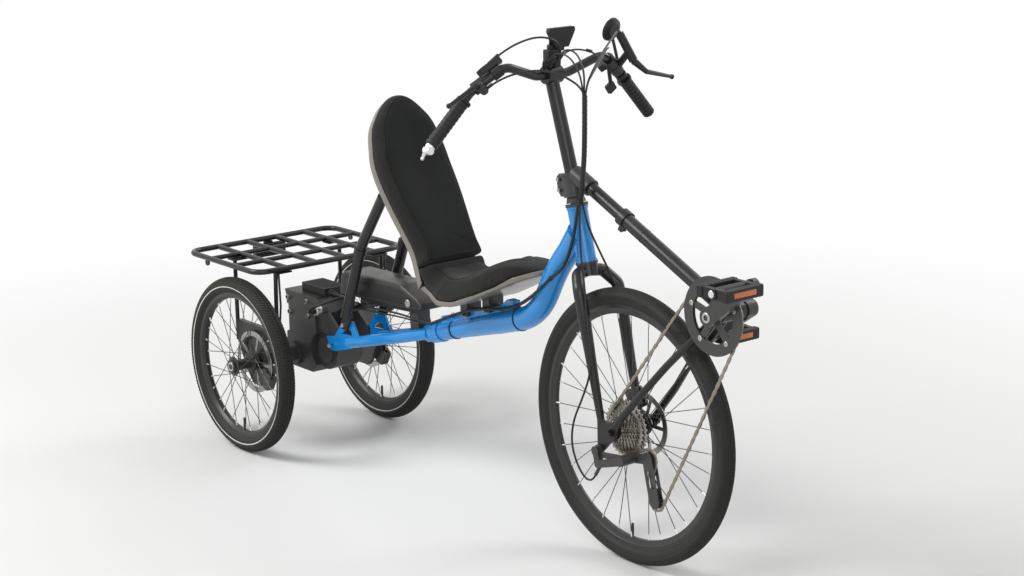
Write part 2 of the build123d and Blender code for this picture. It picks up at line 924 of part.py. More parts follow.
with BuildPart() as fork:
    rod(steering_point(-24), steering_point(steerer_top), steerer_radius)
    rod(steering_point(-30), steering_point(-0.5), 26.0)
    for side in (-1, 1):
        tube(
            [
                steering_point(-15, 0, 0),
                from_head(11, side * 40, -19),
                from_head(42, side * blade_left, -50),
                spot(blade_shoulder[0], side * blade_left, blade_shoulder[1]),
            ],
            blade_top_radius,
            [22.0, 30.0],
        )
        taper(
            spot(blade_shoulder[0] - 1.6, side * blade_left, blade_shoulder[1] + 6),
            spot(blade_low[0], side * blade_left, blade_low[1]),
            blade_top_radius + blend_step,
            blade_low_radius,
        )
        lobe = [hanger_place] if side < 0 else [(blade_low[0], blade_low[1] - 8)]
        with BuildSketch(side_plane(side * end_left)):
            for place, radius in (((wheelbase, front_wheel_radius), 15), (blade_low, 12)):
                with Locations(place):
                    Circle(radius)
            for place in lobe:
                with Locations(place):
                    Circle(9)
            make_hull()
        extrude(amount=end_thickness / 2, both=True)
    rod(
        spot(wheelbase, -axle_end, front_wheel_radius),
        spot(wheelbase, axle_end, front_wheel_radius),
        axle_radius,
    )
    for side in (-1, 1):
        rod(
            spot(wheelbase, side * (axle_end - 11), front_wheel_radius),
            spot(wheelbase, side * axle_end, front_wheel_radius),
            9.0,
        )
save(fork, "fork")

# Front wheel, disc and sprockets
front_bead = 299.0
front_rim_inner = 280.0
front_tyre_half = 22.0
front_rotor_near = 40.0
front_rotor_radius = 80.0
freehub_radius = 17.0
sprocket_pitch = 12.7
sprocket_step = 4.0
sprocket_outer = -52.0
# teeth, outermost first
sprocket_teeth = (11, 13, 15, 18, 21, 24, 28, 32, 36)
engaged = 6
tooth_height = 5.0
tooth_over_pitch = 2.5
under_chain = 4.6


def pitch_radius(teeth):
    return sprocket_pitch / (2 * sin(pi / teeth))


def tooth_ring(teeth, tip):
    """A closed outline of teeth whose tips lie on a radius, with flat crests and roots."""
    # share of the pitch from a tooth's middle, radius
    corners = [(-0.3, tip - tooth_height), (-0.1, tip), (0.1, tip), (0.3, tip - tooth_height)]
    with BuildLine() as outline:
        Polyline(
            *[
                (radius * cos(2 * pi * (tooth + share) / teeth),
                 radius * sin(2 * pi * (tooth + share) / teeth))
                for tooth in range(teeth)
                for share, radius in corners
            ],
            close=True,
        )
    make_face(outline.edges())


def tip_radius(teeth, under):
    """The teeth's tips stand over the pitch circle, or end under the chain that lies there."""
    return pitch_radius(teeth) + (-under_chain if under else tooth_over_pitch)


with BuildPart() as front_tyre:
    turned(
        front_axle, tyre_section(front_tyre_half, front_bead + seat_gap, front_wheel_radius)
    )
save(front_tyre, "front_tyre")

with BuildPart() as front_wheel:
    turned(front_axle, rim_section(11.0, front_rim_inner, front_bead))
    turned(
        front_axle,
        [
            (-53.5, axle_radius + running_fit), (-53.5, freehub_radius),
            (-17, freehub_radius), (-15, 31), (-11, 31), (-7, 17), (22, 16), (24, 31),
            (28, 31), (30, 20), (front_rotor_near - 0.5, 20),
            (front_rotor_near - 0.5, 18), (53, 14), (53, axle_radius + running_fit),
        ],
    )
    spokes(front_axle, [((-13, 28), (-3, 283)), ((26, 28), (3, 283))])
save(front_wheel, "front_wheel")

with BuildPart() as front_rotor:
    rotor_disc(
        spot(wheelbase, 0, front_wheel_radius), 1, front_rotor_near, rotor_thickness,
        front_rotor_radius, 18 + running_fit,
    )
save(front_rotor, "front_rotor")

with BuildPart() as cassette:
    for index, teeth in enumerate(sprocket_teeth):
        left = sprocket_outer + sprocket_step * index
        with BuildSketch(Plane(origin=from_axle(0, left, 0), x_dir=(1, 0, 0),
                               z_dir=(0, -1, 0))) as sprocket:
            tooth_ring(teeth, tip_radius(teeth, index == engaged))
            Circle(freehub_radius + running_fit, mode=Mode.SUBTRACT)
        extrude(sprocket.sketch, amount=1.1, both=True)
    turned(
        front_axle,
        [
            (sprocket_outer - 1, freehub_radius + running_fit), (sprocket_outer - 1, 19.5),
            (-19, 19.5), (-19, freehub_radius + running_fit),
        ],
    )
save(cassette, "cassette")

with BuildPart() as front_caliper:
    caliper(
        spot(wheelbase, 0, front_wheel_radius), 118, 31, front_rotor_near,
        front_rotor_near + rotor_thickness, 51.5, front_rotor_radius, 3.0,
    )
save(front_caliper, "front_caliper")

# Chainring with its guard, cranks and pedals
chainring_teeth = 42
chainring_left = -45.0
guard_left = -51.5
guard_radius = 92.5
spindle_radius = 12.0
shell_half = 36.0
bracket_radius = 20.0
pedal_axle_radius = 6.0
pedal_gap = 6.0
pedal_length = 112.0
pedal_half_depth = 48.0
pedal_half_height = 14.0


def crank_end(turn):
    angle = radians(crank_rise + turn)
    return (
        bracket_ahead + crank_length * cos(angle),
        bracket_height + crank_length * sin(angle),
    )


def facing_right(left):
    """A plane square to the crank axle, looking right; local X is ahead, local Y is up."""
    return Plane(origin=(bracket[0], left, bracket[2]), x_dir=(1, 0, 0), z_dir=(0, -1, 0))


ring_inner = 66.0
guard_inner = 64.0
arm_turn = 20.0
arm_radius = 71.0

with BuildPart() as chainring:
    with BuildSketch(facing_right(chainring_left + 2)) as toothed:
        tooth_ring(chainring_teeth, tip_radius(chainring_teeth, True))
        Circle(ring_inner, mode=Mode.SUBTRACT)
    extrude(toothed.sketch, amount=4)
    with BuildSketch(facing_right(chainring_left)) as spider:
        Circle(24)
        with PolarLocations(arm_radius / 2, 5, start_angle=arm_turn):
            Rectangle(arm_radius, 15)
        with PolarLocations(arm_radius, 5, start_angle=arm_turn):
            Circle(7.5)
    extrude(spider.sketch, amount=6)
    with BuildSketch(facing_right(guard_left + 1.5)) as guard:
        Circle(guard_radius)
        Circle(guard_inner, mode=Mode.SUBTRACT)
    extrude(guard.sketch, amount=3)
    rod(
        (bracket[0], chainring_left + 2, bracket[2]),
        (bracket[0], -crank_inner + seat_gap, bracket[2]),
        22.0,
    )
    rod(
        (bracket[0], chainring_left + 5, bracket[2]),
        (bracket[0], -crank_inner - 5, bracket[2]),
        spindle_radius + running_fit,
        mode=Mode.SUBTRACT,
    )
save(chainring, "chainring")

for name, side, turn in (("right", -1, 0), ("left", 1, 180)):
    end = crank_end(turn)
    with BuildPart() as crank:
        with BuildSketch(side_plane(side * (crank_inner + crank_thickness / 2))):
            with Locations((bracket_ahead, bracket_height)):
                Circle(21)
            with Locations(end):
                Circle(15)
            make_hull()
        extrude(amount=crank_thickness / 2, both=True)
        rod(
            spot(end[0], side * (crank_inner + 2), end[1]),
            spot(end[0], side * (crank_inner + crank_thickness + pedal_gap + pedal_length), end[1]),
            pedal_axle_radius,
        )
        rod(
            spot(end[0], side * (crank_inner + 2), end[1]),
            spot(end[0], side * (crank_inner + crank_thickness + 3), end[1]),
            pedal_axle_radius + 3,
        )
        if side < 0:
            rod(
                (bracket[0], -crank_inner - 2, bracket[2]),
                (bracket[0], crank_inner + crank_thickness, bracket[2]),
                spindle_radius,
            )
        else:
            rod(
                (bracket[0], 44, bracket[2]),
                (bracket[0], crank_inner + 2, bracket[2]),
                21,
            )
            rod(
                (bracket[0], 40, bracket[2]),
                (bracket[0], crank_inner + crank_thickness + 2, bracket[2]),
                spindle_radius + running_fit,
                mode=Mode.SUBTRACT,
            )
    save(crank, f"crank_{name}")
    with BuildPart() as pedal:
        near = side * (crank_inner + crank_thickness + pedal_gap)
        far = side * (crank_inner + crank_thickness + pedal_gap + pedal_length)
        low, high = sorted((near, far))
        for front in (-1, 1):
            edge_low, edge_high = sorted((front * 30, front * pedal_half_depth))
            box(
                spot(end[0] + edge_low, low, end[1] - pedal_half_height),
                spot(end[0] + edge_high, high, end[1] + pedal_half_height),
            )
        fillet(pedal.edges().filter_by(Axis.Y), 4)
        fillet(pedal.faces().filter_by(Axis.Y).edges().filter_by(Axis.Z), 3)
        for rib in (low + 3, high - 15):
            box(
                spot(end[0] - 33, rib, end[1] - pedal_half_height + 2),
                spot(end[0] + 33, rib + 12, end[1] + pedal_half_height - 2),
            )
        for front in (-1, 1):
            face = front * pedal_half_depth
            recess_low, recess_high = sorted((face - front * 2.5, face + front))
            box(
                spot(end[0] + recess_low, low + 22, end[1] - 7),
                spot(end[0] + recess_high, high - 22, end[1] + 7),
                mode=Mode.SUBTRACT,
            )
        rod(spot(end[0], low, end[1]), spot(end[0], high, end[1]), 12.5)
        rod(
            spot(end[0], low - 1, end[1]),
            spot(end[0], high + 1, end[1]),
            pedal_axle_radius + running_fit,
            mode=Mode.SUBTRACT,
        )
    save(pedal, f"pedal_{name}")

# Boom: an inner tube from the stem clamp slides in the outer one that carries the bracket
boom_start = (head_low_ahead - 20, head_low_height + 207)
boom_split = head_low_ahead + 133
boom_radius = 17.8
boom_inner_radius = 15.9
boom_overlap = 120.0
boom_run = (Vector(*bracket) - Vector(*spot(boom_start[0], 0, boom_start[1]))).normalized()


def boom_point(ahead):
    """A point on the boom's axis at a distance ahead."""
    return spot(
        ahead, 0, bracket_height + (ahead - bracket_ahead) * boom_run.Z / boom_run.X
    )


# Square to the boom where its outer tube starts; local X is left, local Y is up
collar_wall = 4.0
boom_square = Plane(origin=boom_point(boom_split), x_dir=(0, 1, 0), z_dir=boom_run)

with BuildPart() as boom_inner:
    rod(boom_point(boom_start[0]), boom_point(boom_split + boom_overlap), boom_inner_radius)
save(boom_inner, "boom_inner")

with BuildPart() as boom_outer:
    rod(boom_point(boom_split), boom_point(bracket_ahead - 6), boom_radius)
    rod(boom_point(boom_split - 4), boom_point(boom_split + 16), boom_radius + collar_wall)
    for ring in (16, 75):
        rod(boom_point(boom_split + ring), boom_point(boom_split + ring + 2), boom_radius + 0.6)
    with BuildSketch(boom_square.offset(3)) as ears:
        with Locations((0, -boom_radius - collar_wall - 4)):
            Rectangle(17, 14)
    extrude(ears.sketch, amount=12)
    with BuildSketch(boom_square.offset(-12)) as slot:
        with Locations((0, -boom_radius - collar_wall)):
            Rectangle(2.4, 36)
    extrude(slot.sketch, amount=40, mode=Mode.SUBTRACT)
    rod(
        boom_point(boom_split - 10),
        boom_point(boom_split + boom_overlap + 5),
        boom_inner_radius + running_fit,
        mode=Mode.SUBTRACT,
    )
    rod(
        (bracket[0], -shell_half, bracket[2]),
        (bracket[0], shell_half, bracket[2]),
        bracket_radius,
    )
    rod(
        (bracket[0], -shell_half - 4, bracket[2]),
        (bracket[0], shell_half + 4, bracket[2]),
        bracket_radius - 2,
    )
    rod(
        (bracket[0], -shell_half - 5, bracket[2]),
        (bracket[0], shell_half + 5, bracket[2]),
        spindle_radius + running_fit,
        mode=Mode.SUBTRACT,
    )
save(boom_outer, "boom_outer")

# Chain stays: from plates on the front axle up to the bracket shell
chainstay_radius = 9.0
tip_left = end_left + end_thickness / 2 + seat_gap + 3

with BuildPart() as chainstays:
    for side in (-1, 1):
        tube(
            [
                from_axle(-10, side * tip_left, -6),
                from_axle(85, side * 60, 102),
                from_axle(165, side * 41, 196),
                spot(bracket_ahead - 101, side * 37, bracket_height - 93),
                spot(bracket_ahead - 23, side * 20, bracket_height - 13),
            ],
            chainstay_radius,
            [200.0, 200.0, 120.0],
        )
        with BuildSketch(side_plane(side * tip_left)):
            with Locations((wheelbase, front_wheel_radius)):
                Circle(14)
            with Locations((wheelbase + 30, front_wheel_radius + 39)):
                Circle(9)
            make_hull()
        extrude(amount=3, both=True)
    rod(
        spot(wheelbase, -100, front_wheel_radius),
        spot(wheelbase, 100, front_wheel_radius),
        axle_radius + seat_gap,
        mode=Mode.SUBTRACT,
    )
    for side in (-1, 1):
        rod(
            spot(wheelbase, side * (tip_left + 3), front_wheel_radius),
            spot(wheelbase, side * 100, front_wheel_radius),
            16.0,
            mode=Mode.SUBTRACT,
        )
        rod(
            spot(wheelbase, side * 40, front_wheel_radius),
            spot(wheelbase, side * (tip_left - 3), front_wheel_radius),
            20.0,
            mode=Mode.SUBTRACT,
        )
        rod(
            from_axle(-43, side * 40, -54),
            from_axle(-43, side * (tip_left - 3), -54),
            60.0,
            mode=Mode.SUBTRACT,
        )
    rod(
        (bracket[0], -60, bracket[2]),
        (bracket[0], 60, bracket[2]),
        bracket_radius + seat_gap,
        mode=Mode.SUBTRACT,
    )
    rod(
        boom_point(bracket_ahead - 123),
        boom_point(bracket_ahead + 37),
        boom_radius + seat_gap,
        mode=Mode.SUBTRACT,
    )
save(chainstays, "chainstays")

# Derailleur: hanger knuckle, link arms, cage and two pulleys, in line with the engaged sprocket
chain_left = sprocket_outer + sprocket_step * engaged
guide_pulley = (wheelbase + 92, front_wheel_radius - 52)
tension_pulley = (wheelbase + 117, front_wheel_radius - 153)
pulley_teeth = 11
knuckle = (wheelbase + 45, front_wheel_radius - 59)
hanger_face = -(end_left + end_thickness / 2 + seat_gap)
barrel_start = (wheelbase - 47, front_wheel_radius - 116)
barrel_end = (wheelbase - 33, front_wheel_radius - 94)
barrel_left = -78.0


def side_link(left, thickness, first, first_radius, second, second_radius, mode=Mode.ADD):
    """A flat link in the side view, from one round end to another, thickening to the right."""
    with BuildSketch(side_plane(left)) as link:
        for place, radius in ((first, first_radius), (second, second_radius)):
            with Locations(place):
                Circle(radius)
        make_hull()
    extrude(link.sketch, amount=thickness, mode=mode)


def between_pulleys(share):
    return (
        tension_pulley[0] + (guide_pulley[0] - tension_pulley[0]) * share,
        tension_pulley[1] + (guide_pulley[1] - tension_pulley[1]) * share,
    )


with BuildPart() as derailleur:
    rod(
        spot(hanger_place[0], hanger_face, hanger_place[1]),
        spot(hanger_place[0], hanger_face - 18, hanger_place[1]),
        12.0,
    )
    side_link(hanger_face - 4, 4, hanger_place, 13.5, hanger_place, 13.0)
    upper_end = (hanger_place[0] + 12, hanger_place[1] - 8)
    lower_end = (hanger_place[0] + 8, hanger_place[1] - 32)
    side_link(hanger_face - 3, 14, hanger_place, 10, lower_end, 9)
    side_link(hanger_face - 5, 5, upper_end, 7, (knuckle[0], knuckle[1] + 6), 7)
    side_link(hanger_face - 12, 6, lower_end, 9, knuckle, 11)
    rod(
        spot(knuckle[0], hanger_face - 18, knuckle[1]),
        spot(knuckle[0], chain_left - 6, knuckle[1]),
        13.0,
    )
    rod(
        spot(barrel_start[0], barrel_left, barrel_start[1]),
        spot(barrel_end[0], barrel_left, barrel_end[1]),
        4.5,
    )
    for inner in (chain_left - 7.5, chain_left + 5.5):
        side_link(inner, 2, tension_pulley, 17, guide_pulley, 17)
    for inner in (chain_left - 7.5, chain_left + 5.5):
        side_link(
            inner + 1, 4, between_pulleys(0.36), 8, between_pulleys(0.66), 8, mode=Mode.SUBTRACT
        )
    side_link(chain_left - 7.5, 2, knuckle, 13, guide_pulley, 12)
    for place in (guide_pulley, tension_pulley):
        with BuildSketch(Plane(origin=spot(place[0], chain_left, place[1]), x_dir=(1, 0, 0),
                               z_dir=(0, -1, 0))) as pulley:
            tooth_ring(pulley_teeth, tip_radius(pulley_teeth, True))
        extrude(pulley.sketch, amount=1.5, both=True)
        rod(
            spot(place[0], chain_left - 9, place[1]),
            spot(place[0], chain_left + 6, place[1]),
            5.0,
        )
save(derailleur, "derailleur")

# Chain: inner links as one closed band, with an outer link over it at every second pitch
chain_half_height = 3.0
chain_half_width = 1.7
link_half_width = 2.6
link_half_height = 3.6
link_half_length = 9.4
# side-view centre, pitch radius, sense of travel (1 is anticlockwise), left
chain_stops = [
    ((wheelbase, front_wheel_radius), pitch_radius(sprocket_teeth[engaged]), -1, chain_left),
    ((bracket_ahead, bracket_height), pitch_radius(chainring_teeth), -1, chainring_left),
    (tension_pulley, pitch_radius(pulley_teeth), -1, chain_left),
    (guide_pulley, pitch_radius(pulley_teeth), 1, chain_left),
]
headings = []
for (a, ra, sa, _), (b, rb, sb, _) in zip(chain_stops, chain_stops[1:] + chain_stops[:1]):
    gap = (b[0] - a[0], b[1] - a[1])
    lift = (sb * rb - sa * ra) / hypot(*gap)
    headings.append(atan2(gap[1], gap[0]) - atan2(lift, (1 - lift * lift) ** 0.5))


def on_ring(place, radius, turn):
    """A side-view point on a circle round a sprocket."""
    return (place[0] + radius * cos(turn), place[1] + radius * sin(turn))


# Each wrap round a sprocket: centre, radius, left, first angle and the angle travelled
wraps = []
for (place, radius, sense, left), entry, leave in zip(
    chain_stops, headings[-1:] + headings[:-1], headings
):
    first = entry + pi / 2 + (pi if sense > 0 else 0)
    travel = sense * ((sense * (leave - entry)) % (2 * pi))
    wraps.append((place, radius, left, first, travel))


def wrap_point(wrap, share):
    """A point on a wrap, from 0 where the chain meets the sprocket to 1 where it leaves."""
    place, radius, left, first, travel = wrap
    ahead, up = on_ring(place, radius, first + travel * share)
    return Vector(*spot(ahead, left, up))


def link_places():
    """Planes on the chain's middle at every second pitch; local X runs along the chain."""
    places = []
    covered = 0.0
    for wrap, following in zip(wraps, wraps[1:] + wraps[:1]):
        _, radius, _, first, travel = wrap
        wrap_length = radius * abs(travel)
        run = wrap_point(following, 0) - wrap_point(wrap, 1)
        along = (-covered) % (2 * sprocket_pitch)
        while along < wrap_length:
            turn = first + travel * along / wrap_length
            heading = (-sin(turn), 0, cos(turn))
            places.append(
                Plane(wrap_point(wrap, along / wrap_length), x_dir=heading, z_dir=(0, -1, 0))
            )
            along += 2 * sprocket_pitch
        while along < wrap_length + run.length:
            start = wrap_point(wrap, 1) + run * ((along - wrap_length) / run.length)
            flat = Vector(run.X, 0, run.Z)
            places.append(
                Plane(start, x_dir=run, z_dir=Vector(0, -1, 0) + flat * (run.Y / flat.length**2))
            )
            along += 2 * sprocket_pitch
        covered += wrap_length + run.length
    return places


with BuildPart() as chain:
    for wrap in wraps:
        place, radius, left, first, travel = wrap
        with BuildSketch(side_plane(left)) as band_part:
            with BuildLine():
                rims = [
                    ThreePointArc(*[
                        on_ring(place, r, first + travel * share) for share in (0, 0.5, 1)
                    ])
                    for r in (radius - chain_half_height, radius + chain_half_height)
                ]
                Line(rims[0] @ 0, rims[1] @ 0)
                Line(rims[0] @ 1, rims[1] @ 1)
            make_face()
        extrude(band_part.sketch, amount=chain_half_width, both=True)
    for wrap, following in zip(wraps, wraps[1:] + wraps[:1]):
        run = wrap_point(following, 0) - wrap_point(wrap, 1)
        start = wrap_point(wrap, 1) - run.normalized() * 1.5
        with Locations(Plane(origin=start, x_dir=(-run.Z, 0, run.X), z_dir=run)):
            Box(
                2 * chain_half_height, 2 * chain_half_width, run.length + 3,
                align=(Align.CENTER, Align.CENTER, Align.MIN),
            )
    with BuildSketch(Plane.XY) as link_outline:
        with BuildLine():
            Polyline(
                (-link_half_length, 0), (-6.5, -link_half_height), (6.5, -link_half_height),
                (link_half_length, 0), (6.5, link_half_height), (-6.5, link_half_height),
                close=True,
            )
        make_face()
    one_link = extrude(
        link_outline.sketch, amount=link_half_width, both=True, mode=Mode.PRIVATE
    )
    with Locations(*link_places()):
        add(one_link)
save(chain, "chain")

# Stem clamp on the steerer, with a lug for the boom and a socket for the riser
clamp_low = 166.0
clamp_high = 224.0
clamp_radius = 26.0
riser_low = (-50.5, 208.0)
riser_high = (-125.0, 437.0)
riser_radius = 17.0
ear_half = 11.0


def riser_rod(radius, mode=Mode.ADD):
    rod(
        from_head(riser_low[0], 0, riser_low[1]),
        from_head(riser_high[0], 0, riser_high[1]),
        radius,
        mode=mode,
    )


with BuildPart() as stem_clamp:
    rod(steering_point(clamp_low), steering_point(clamp_high), clamp_radius)
    for rim in (clamp_low, clamp_high - 5):
        rod(steering_point(rim), steering_point(rim + 5), clamp_radius + 1.5)
    rod(boom_point(boom_start[0] - 22), boom_point(boom_start[0] + 38), boom_inner_radius + 6)
    with BuildSketch(side_plane(0)) as ears:
        with BuildLine():
            FilletPolyline(
                *[
                    (head_low_ahead + ahead, head_low_height + up)
                    for ahead, up in ((-48, 158), (-84, 156), (-95, 172), (-99, 202), (-90, 212),
                                      (-62, 214))
                ],
                radius=4,
                close=True,
            )
        make_face()
    extrude(ears.sketch, amount=ear_half, both=True)
    with BuildSketch(side_plane(0)) as ear_slot:
        with Locations((head_low_ahead - 92, head_low_height + 186)):
            Rectangle(50, 80)
    extrude(ear_slot.sketch, amount=1.2, both=True, mode=Mode.SUBTRACT)
    for ahead, up in ((-83, 172), (-87, 198)):
        rod(
            from_head(ahead, -ear_half - 4, up),
            from_head(ahead, ear_half + 3, up),
            4.5,
        )
    taper(steering_point(head_length + 6), steering_point(clamp_low + 1), head_radius, 21)
    rod(
        steering_point(head_length - 5),
        steering_point(steerer_top + 0.3),
        steerer_radius + running_fit,
        mode=Mode.SUBTRACT,
    )
    riser_rod(riser_radius + running_fit, mode=Mode.SUBTRACT)
    rod(
        boom_point(boom_start[0] - 0.3),
        boom_point(boom_start[0] + 48),
        boom_inner_radius + running_fit,
        mode=Mode.SUBTRACT,
    )
save(stem_clamp, "stem_clamp")

# Riser up to the handlebar, with the clamp round the bar
bar_centre = (head_low_ahead - 125, head_low_height + 451)
bar_radius = 11.1
bar_clamp_radius = 22.0
bar_clamp_half = 23.0


def on_bar(ahead, left, up):
    """A point counted from the middle of the handlebar."""
    return spot(bar_centre[0] + ahead, left, bar_centre[1] + up)


with BuildPart() as riser:
    riser_rod(riser_radius)
    rod(on_bar(0, -bar_clamp_half, 0), on_bar(0, bar_clamp_half, 0), bar_clamp_radius)
    for side in (-1, 1):
        box(
            on_bar(-28, side * 15 - 6, -9),
            on_bar(-12, side * 15 + 6, 9),
        )
    rod(
        on_bar(0, -bar_clamp_half - 7, 0),
        on_bar(0, bar_clamp_half + 7, 0),
        bar_radius + running_fit,
        mode=Mode.SUBTRACT,
    )
save(riser, "riser")

# Handlebar: ahead, left, up of the left half's corners from its middle outwards
bar_corners = [(0.0, 50.0, 0.0), (11.0, 155.0, 36.0), (-20.0, 236.0, -21.0)]
bar_end = (-31.0, 345.0, -134.0)
bar_bends = [60.0, 45.0, 60.0]
grip_radius = 16.0


def bar_tube(radius, mode=Mode.ADD):
    """The whole bar's bent line as a tube of some radius."""
    tube(
        [on_bar(bar_end[0], -bar_end[1], bar_end[2])]
        + [on_bar(a, -left, up) for a, left, up in reversed(bar_corners)]
        + [on_bar(a, left, up) for a, left, up in bar_corners]
        + [on_bar(*bar_end)],
        radius,
        list(reversed(bar_bends)) + bar_bends,
        mode=mode,
    )


def between_places(first, second, side, share):
    """A point on one side of the bar, part of the way from one of its places to another."""
    ahead, left, up = [a + (b - a) * share for a, b in zip(first, second)]
    return on_bar(ahead, side * left, up)


def along_grip(side, share):
    """A point on the handlebar's end run, from 0 at its end to 1 at its last corner."""
    return between_places(bar_end, bar_corners[2], side, share)


def along_run(side, share):
    """A point on the run inside the grip, from 0 inside to 1 outside."""
    return between_places(bar_corners[1], bar_corners[2], side, share)


def beside_run(side, share, away, distance):
    """A plane off the run inside the grip: local X points outwards along it, Z away from it."""
    run = (Vector(*along_run(side, 1)) - Vector(*along_run(side, 0))).normalized()
    out = Vector(*away)
    out = (out - run * out.dot(run)).normalized()
    return Plane(origin=Vector(*along_run(side, share)) + out * distance, x_dir=run, z_dir=out)


with BuildPart() as handlebar:
    bar_tube(bar_radius)
save(handlebar, "handlebar")

with BuildPart() as grips:
    for side in (-1, 1):
        rod(along_grip(side, -0.03), along_grip(side, 0.82), grip_radius - 1)
        for ridge in range(11):
            rod(
                along_grip(side, -0.02 + ridge * 0.075),
                along_grip(side, 0.028 + ridge * 0.075),
                grip_radius,
            )
        rod(along_grip(side, 0.8), along_grip(side, 0.84), grip_radius + 3)
        rod(
            along_grip(side, 0.0),
            along_grip(side, 0.95),
            bar_radius + running_fit,
            mode=Mode.SUBTRACT,
        )
save(grips, "grips")

# Gear shifter in the right bar end: a waisted body and a thin lever with a ball
shifter_pivot = along_grip(-1, -0.12)
shifter_tip = on_bar(-43, -366, -167)

with BuildPart() as bar_end_shifter:
    rod(along_grip(-1, -0.032), along_grip(-1, -0.075), 12.0)
    taper(along_grip(-1, -0.07), along_grip(-1, -0.17), 11.0, 8.0)
    rod(
        Vector(*shifter_pivot) + Vector(-9, 0, 0),
        Vector(*shifter_pivot) + Vector(14, 0, 0),
        9.0,
    )
    taper(Vector(*shifter_pivot) + Vector(-6, 0, 0), shifter_tip, 6.0, 3.0)
    with Locations(Vector(*shifter_tip)):
        Sphere(4.5)
save(bar_end_shifter, "bar_end_shifter")

# Brake levers: a ring on the bar, a cylinder beside it and a blade with a ball end
lever_rings = [(-1, 0.62, 0.9), (1, 0.6, 0.92)]
# side, cylinder's closed end, hose end, blade's foot, elbow and tip, from the bar's middle
lever_places = [
    (-1, (38, 262, 4), (20, 225, -14), (36, 250, 4), (41, 262, 5), (49, 353, -33)),
    (1, (46, 226, 16), (25, 198, 84), (48, 230, 12), (71, 246, -11), (49, 353, -37)),
]

with BuildPart() as brake_levers:
    for side, low_share, high_share in lever_rings:
        rod(along_run(side, low_share), along_run(side, high_share), 16.5)
    for side, *places in lever_places:
        closed, hose, foot, elbow, tip = [
            Vector(*on_bar(ahead, side * left, up)) for ahead, left, up in places
        ]
        rod(closed, hose, 11.0)
        rod(closed, closed + (closed - hose).normalized() * 8, 8.0)
        rod(hose, hose + (hose - closed).normalized() * 6, 6.0)
        rod(along_run(side, 0.8), (closed * 2 + hose) * (1 / 3), 9.0)
        taper(foot, elbow, 9.0, 6.5)
        with Locations(elbow):
            Sphere(6.5)
        taper(elbow, tip, 6.5, 4.5)
        with Locations(tip):
            Sphere(6.5)
    bar_tube(bar_radius + running_fit, mode=Mode.SUBTRACT)
save(brake_levers, "brake_levers")

# Right control: a long housing with a round button. Left: a switch ring, its paddle and a pod.
with BuildPart() as handlebar_controls:
    rod(along_run(-1, 0.12), along_run(-1, 0.36), 15.5)
    with BuildSketch(beside_run(-1, 0.26, (-0.6, 0, 1), bar_radius + 2)) as housing:
        with BuildLine():
            FilletPolyline(
                (-30, -12), (22, -12), (36, -5), (36, 7), (22, 13), (-30, 13),
                radius=3,
                close=True,
            )
        make_face()
    extrude(housing.sketch, amount=16)
    with BuildSketch(beside_run(-1, 0.26, (-0.6, 0, 1), bar_radius + 18)) as button:
        with Locations((2, 0)):
            Circle(7)
    extrude(button.sketch, amount=1.5)
    rod(along_run(1, 0.26), along_run(1, 0.56), 17.5)
    with BuildSketch(beside_run(1, 0.42, (-0.8, 0, -0.9), bar_radius)) as pod:
        RectangleRounded(24, 18, 4)
    extrude(pod.sketch, amount=20)
    paddle = Plane(origin=on_bar(-6, 200, -54), x_dir=(0, 0.82, 0.57), z_dir=(-1, 0, 0))
    with BuildSketch(paddle) as paddle_face:
        RectangleRounded(26, 24, 3)
    extrude(paddle_face.sketch, amount=9)
    rod(along_run(1, 0.3), on_bar(-9, 199, -46), 5.0)
    bar_tube(bar_radius + running_fit, mode=Mode.SUBTRACT)
save(handlebar_controls, "handlebar_controls")

# Display: a thin case, wider at its top, on a strap that saddles the riser's clamp
display_middle = 20.0
display_low = 66.0
display_high = 114.0

with BuildPart() as display:
    with BuildSketch(Plane(origin=on_bar(5, display_middle, 0), x_dir=(0, 1, 0),
                           z_dir=(1, 0, 0))) as case:
        with BuildLine():
            FilletPolyline(
                (-20, display_low), (20, display_low), (41, display_high - 9),
                (39, display_high), (-39, display_high), (-41, display_high - 9),
                radius=3,
                close=True,
            )
        make_face()
    extrude(case.sketch, amount=13)
    with BuildSketch(Plane(origin=on_bar(0, 14, 0), x_dir=(1, 0, 0), z_dir=(0, -1, 0))) as strap:
        with BuildLine():
            Polyline((-8, 12), (8, 12), (14, display_low + 4), (7, display_low + 4), close=True)
        make_face()
    extrude(strap.sketch, amount=7, both=True)
    rod(
        on_bar(0, -bar_clamp_half, 0),
        on_bar(0, bar_clamp_half, 0),
        bar_clamp_radius + seat_gap,
        mode=Mode.SUBTRACT,
    )
save(display, "display")

# Mirror on the left end of the run: a ring, a thin arm and a domed round case
mirror_radius = 31.0
mirror_centre = on_bar(-56, 241, 84)
mirror_facing = (1, 0.15, -0.3)

with BuildPart() as mirror_arm:
    rod(along_grip(1, 0.9), along_grip(1, 0.97), 15.0)
    rod(along_grip(1, 0.93), mirror_centre, 4.0)
    mirror_case = Plane(origin=mirror_centre, z_dir=mirror_facing)
    with BuildSketch(mirror_case) as rim:
        Circle(mirror_radius)
    with BuildSketch(mirror_case.offset(7)) as shoulder:
        Circle(mirror_radius - 2)
    with BuildSketch(mirror_case.offset(14)) as crown:
        Circle(mirror_radius - 14)
    loft([rim.sketch, shoulder.sketch])
    loft([shoulder.sketch, crown.sketch])
    bar_tube(bar_radius + running_fit, mode=Mode.SUBTRACT)
save(mirror_arm, "mirror")

# Cables that turn with the steering: the wrapped bundle, gear housing and brake hose
bundle_radius = 7.0
housing_radius = 2.6
bundle_end = (1255.0, -38.0, 896.0)

